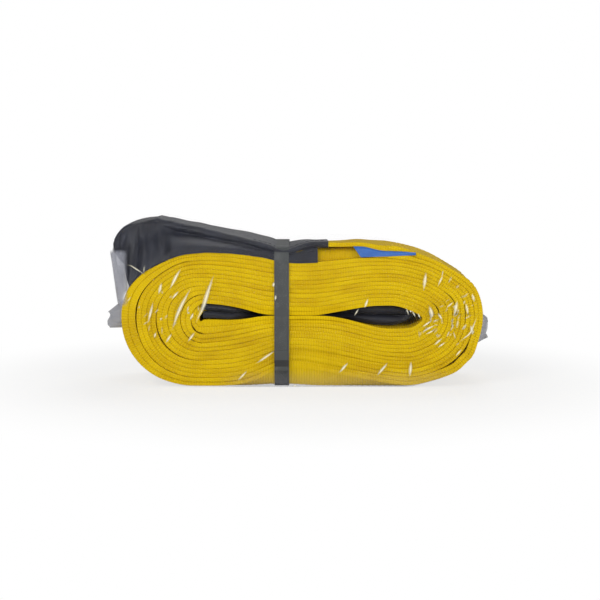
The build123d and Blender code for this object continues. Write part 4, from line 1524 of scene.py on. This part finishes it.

# %% [markdown]
# ## The soft pieces
#
# Both sleeves, their slack, the label, the bag and its gathered ends are thin sheets. The size each
# was cut to is printed, with the area it measures. A sleeve was cut wide enough to go round the flat
# webbing, and the bag is a tube of film as long as the coil is round. The webbing and the strap are
# stiff, and are not.

sleeve_cut = 172.0  # round the webbing's two faces, less what its folds take up
slack_drop = 62.0
film_cut = 185.0  # width of the tube of film, laid flat


def cut_sheet(piece, wide, long, area=None):
    """Prints a sheet's flat size in millimetres and the area it measures. area, in square millimetres, is
    not used.
    """
    area = None if area is None else area * MM * MM
    cloth_area = sum(face.area for face in piece.data.polygons) / 2 / (MM * MM)
    print(f"{piece.name}: cut {wide:.0f} x {long:.0f} mm, measures {cloth_area:.0f} square mm")


cut_sheet(inner_sleeve, sleeve_cut, inner_eye_route.length)
cut_sheet(outer_sleeve, sleeve_cut, outer_eye_route.length)
slack_area = 0.5 * slack_drop * slack_length  # a triangle
for sheet in slacks:
    cut_sheet(sheet, slack_drop, slack_length, slack_area)
cut_sheet(label, label_cut, label_length, 0.6 * label_cut * label_length)
cut_sheet(bag, film_cut, film_round, None)
for tuft in (left_tuft, right_tuft):
    cut_sheet(tuft, tuft_cut, tuft_reach)

# %% [markdown]
# ## Woven webbing
#
# Polyester webbing has a rib across it every two millimetres or so, and its warp shows as short
# columns, half a step apart from rib to rib. All of it follows the cloth, so it is written on the
# `cloth` map. The dye is a little cloudy, and the valleys between the ribs are darkened with painted
# shade.

# %% The webbing's finish
rib_pitch, column_pitch = 0.0021, 0.0024  # in metres


def woven(start, bright, deep):
    """Colour, roughness and normal of ribbed webbing, with painted shade in the valleys between its ribs."""
    flat = cloth_place(start)
    along, across = flat.axis(0), flat.axis(1)
    rib = along.wave(1 / rib_pitch)
    columns = across.wave(1 / column_pitch, rib * math.pi)
    cloud = flat.stretched(1, 2.5, 1).noise(26, 4.0)
    fibre = flat.stretched(1, 0.3, 1).noise(2600, 2.0)
    valley = (1 - rib) ** 2.0
    # the share of the deep colour: painted shade in the rib valleys, and the dye's clouds and fibres
    dye_and_valley_shade = valley * 0.4 + cloud.above(0.35, 0.7) * 0.5 + fibre.above(0.4, 0.75) * 0.22
    height = rib * 0.75 + columns * 0.2 + fibre * 0.25
    return {
        "Base Color": colour(start, bright).blend(dye_and_valley_shade, colour(start, deep)),
        "Roughness": valley * 0.15 + 0.52,
        "Normal": height.bump(0.55, 0.0005),
    }


# in each, the second colour is the dye's darker tone and also the painted shade of the rib valleys
start = Wire(webbing.node_tree)
feed(webbing_shader, woven(start, (0.68, 0.475, 0.001), (0.475, 0.285, 0.0005)))
feed(webbing_shader, {"Specular IOR Level": 0.07})
start = Wire(yellow_thread.node_tree)
feed(thread_shader, woven(start, (0.7, 0.5, 0.03), (0.5, 0.33, 0.01)))

# %% [markdown]
# ## The sleeves' cloth
#
# The sleeves are a close weave of black yarn that shines a little, and it is blue rather than
# brown. A fine twill is enough, with clouds in its colour and gloss.

# %% The sleeves' finish
start = Wire(sleeve_cloth.node_tree)
flat = cloth_place(start)
twill_pitch = 0.0011
twill = (flat.axis(0) + flat.axis(1)).wave(1 / twill_pitch)
cloud = object_place(start).stretched(1, 1, 0.5).noise(70, 4.0)
height = twill * 0.5 + cloud * 0.8
feed(
    sleeve_shader,
    {
        "Base Color": colour(start, (0.0035, 0.0045, 0.011)).blend(
            cloud.above(0.3, 0.75), colour(start, (0.013, 0.0155, 0.029))
        ),
        "Roughness": cloud * 0.3 + 0.36,
        "Normal": height.bump(0.4, 0.0004),
        "Sheen Weight": 0.1,
        "Sheen Roughness": 0.4,
    },
)
feed(black_thread_shader, {"Base Color": (0.05, 0.053, 0.066, 1), "Roughness": 0.5})

# %% [markdown]
# ## The strap's plastic
#
# Packing strap is extruded plastic, drawn lengthways, so it has faint lines along it. It is dull
# with handling. A band of it, where it turns from the coil's bottom up its front over the lap, is
# painted dark for the dark reflection at that bend.

# %% The strap's finish
start = Wire(strap_plastic.node_tree)
flat = cloth_place(start)
up = object_place(start).axis(2)
# painted dark reflection: a band where the strap bends from the coil's bottom up its front, darkened in
# colour; the same band is raised a little in the bump, over the lap
dark_band_low, dark_band_high, dark_band_blur = 0.0176, 0.0230, 0.0004  # metres above the floor
painted_dark_band = up.above(dark_band_low - dark_band_blur, dark_band_low + dark_band_blur)
painted_dark_band = painted_dark_band * (1 - up.above(dark_band_high - dark_band_blur, dark_band_high + dark_band_blur))
drawn = flat.stretched(0.12, 1, 1).noise(1500, 3.0)
scuffs = object_place(start).noise(160, 4.0)
feed(
    strap_shader,
    {
        "Base Color": colour(start, (0.036, 0.040, 0.041))
        .blend(scuffs.above(0.45, 0.8), colour(start, (0.064, 0.069, 0.068)))
        # the painted dark reflection at the strap's bend
        .blend(painted_dark_band * 0.95, colour(start, (0.004, 0.0045, 0.005))),
        "Roughness": scuffs * 0.2 + 0.42,
        "Normal": (drawn * 0.5 + painted_dark_band * 0.4).bump(0.35, 0.0004),
    },
)

# %% [markdown]
# ## The label's fabric
#
# The label is a coated weave: an even blue, with the threads just showing through the coat.

# %% The label's finish
start = Wire(label_fabric.node_tree)
flat = cloth_place(start)
thread_pitch = 0.0012
threads = flat.axis(0).wave(1 / thread_pitch) * 0.5 + flat.axis(1).wave(1 / thread_pitch) * 0.5
cloud = flat.noise(130, 3.0)
feed(
    label_shader,
    {
        "Base Color": colour(start, (0.014, 0.10, 0.38)).blend(
            cloud.above(0.35, 0.75), colour(start, (0.022, 0.13, 0.45))
        ),
        "Roughness": threads * 0.1 + 0.38,
        "Normal": (threads * 0.6 + cloud * 0.5).bump(0.3, 0.0003),
    },
)

# %% [markdown]
# ## Clear film
#
# The film is clear. It is made more opaque where it hangs free beside the eye, in pleats, and in its
# gathered ends. Along its bottom and its right end, and over its lowest part under the coil, a painted
# pale reflection stands for the gloss of film turned away at a grazing angle. A Mix Shader between
# plain transparency and the film's own gloss is all it needs, with the opacity as its factor. Its
# creases are painted white as glints.


# %% The film's finish
def see_through(material, shader, opacity):
    """Mixes a material's shader with plain transparency, by opacity."""
    start = Wire(material.node_tree)
    clear = start.node("ShaderNodeBsdfTransparent")
    mixed = start.node("ShaderNodeMixShader", None, {0: opacity, 1: clear})
    start.tree.links.new(shader.outputs[0], mixed.socket.node.inputs[2])
    start.tree.links.new(mixed.socket, start.tree.nodes["Material Output"].inputs["Surface"])


where = object_place(Wire(clear_film.node_tree))
across_x, up = where.axis(0), where.axis(2)
cloudy = where.noise(45, 4.0)
ragged_up = up + where.noise(14, 1.0) * 0.024
pleats = where.stretched(0.0, 120.0, 14.0).noise(1.0, 2.0).above(0.3, 0.7)
# where the film's raised opacity beside the eye ends on the right, at the bottom and at the top, in metres
end_right, end_bottom, end_top = (-0.1450, -0.1390), (0.0790, 0.0850), (0.1220, 0.1270)
beside_eye = (1 - across_x.above(*end_right)) * ragged_up.above(*end_bottom)
beside_eye = beside_eye * (1 - ragged_up.above(*end_top)) * (0.36 + pleats * 0.3)
# painted pale reflection: more opacity along the film's bottom edge and its right end, and over its lowest
# part, for the gloss of film turned away at a grazing angle
rim = (1 - up.above(0.0005, 0.0035)) + across_x.above(0.1495, 0.1535)
under = (1 - up.above(0.003, 0.017)) * across_x.above(-0.07, -0.035)
film_opacity = 0.002 + cloudy * 0.005 + beside_eye + rim * 0.04 + under * 0.055
see_through(clear_film, film_shader, film_opacity)
feed(film_shader, {"Base Color": (0.36, 0.37, 0.43, 1), "Roughness": 0.14})
see_through(gathered_film, gathered_shader, 0.66)
feed(gathered_shader, {"Base Color": (0.42, 0.425, 0.46, 1), "Roughness": 0.25})
start = Wire(glint_film.node_tree)
spine_share = start.node("ShaderNodeAttribute", {"attribute_name": "glint_strength"}, None, 2)
# the creases are painted a warm white along their spines, as glints
see_through(glint_film, glint_shader, spine_share * 0.85)
feed(glint_shader, {"Base Color": (0.95, 0.91, 0.70, 1), "Roughness": 0.22})
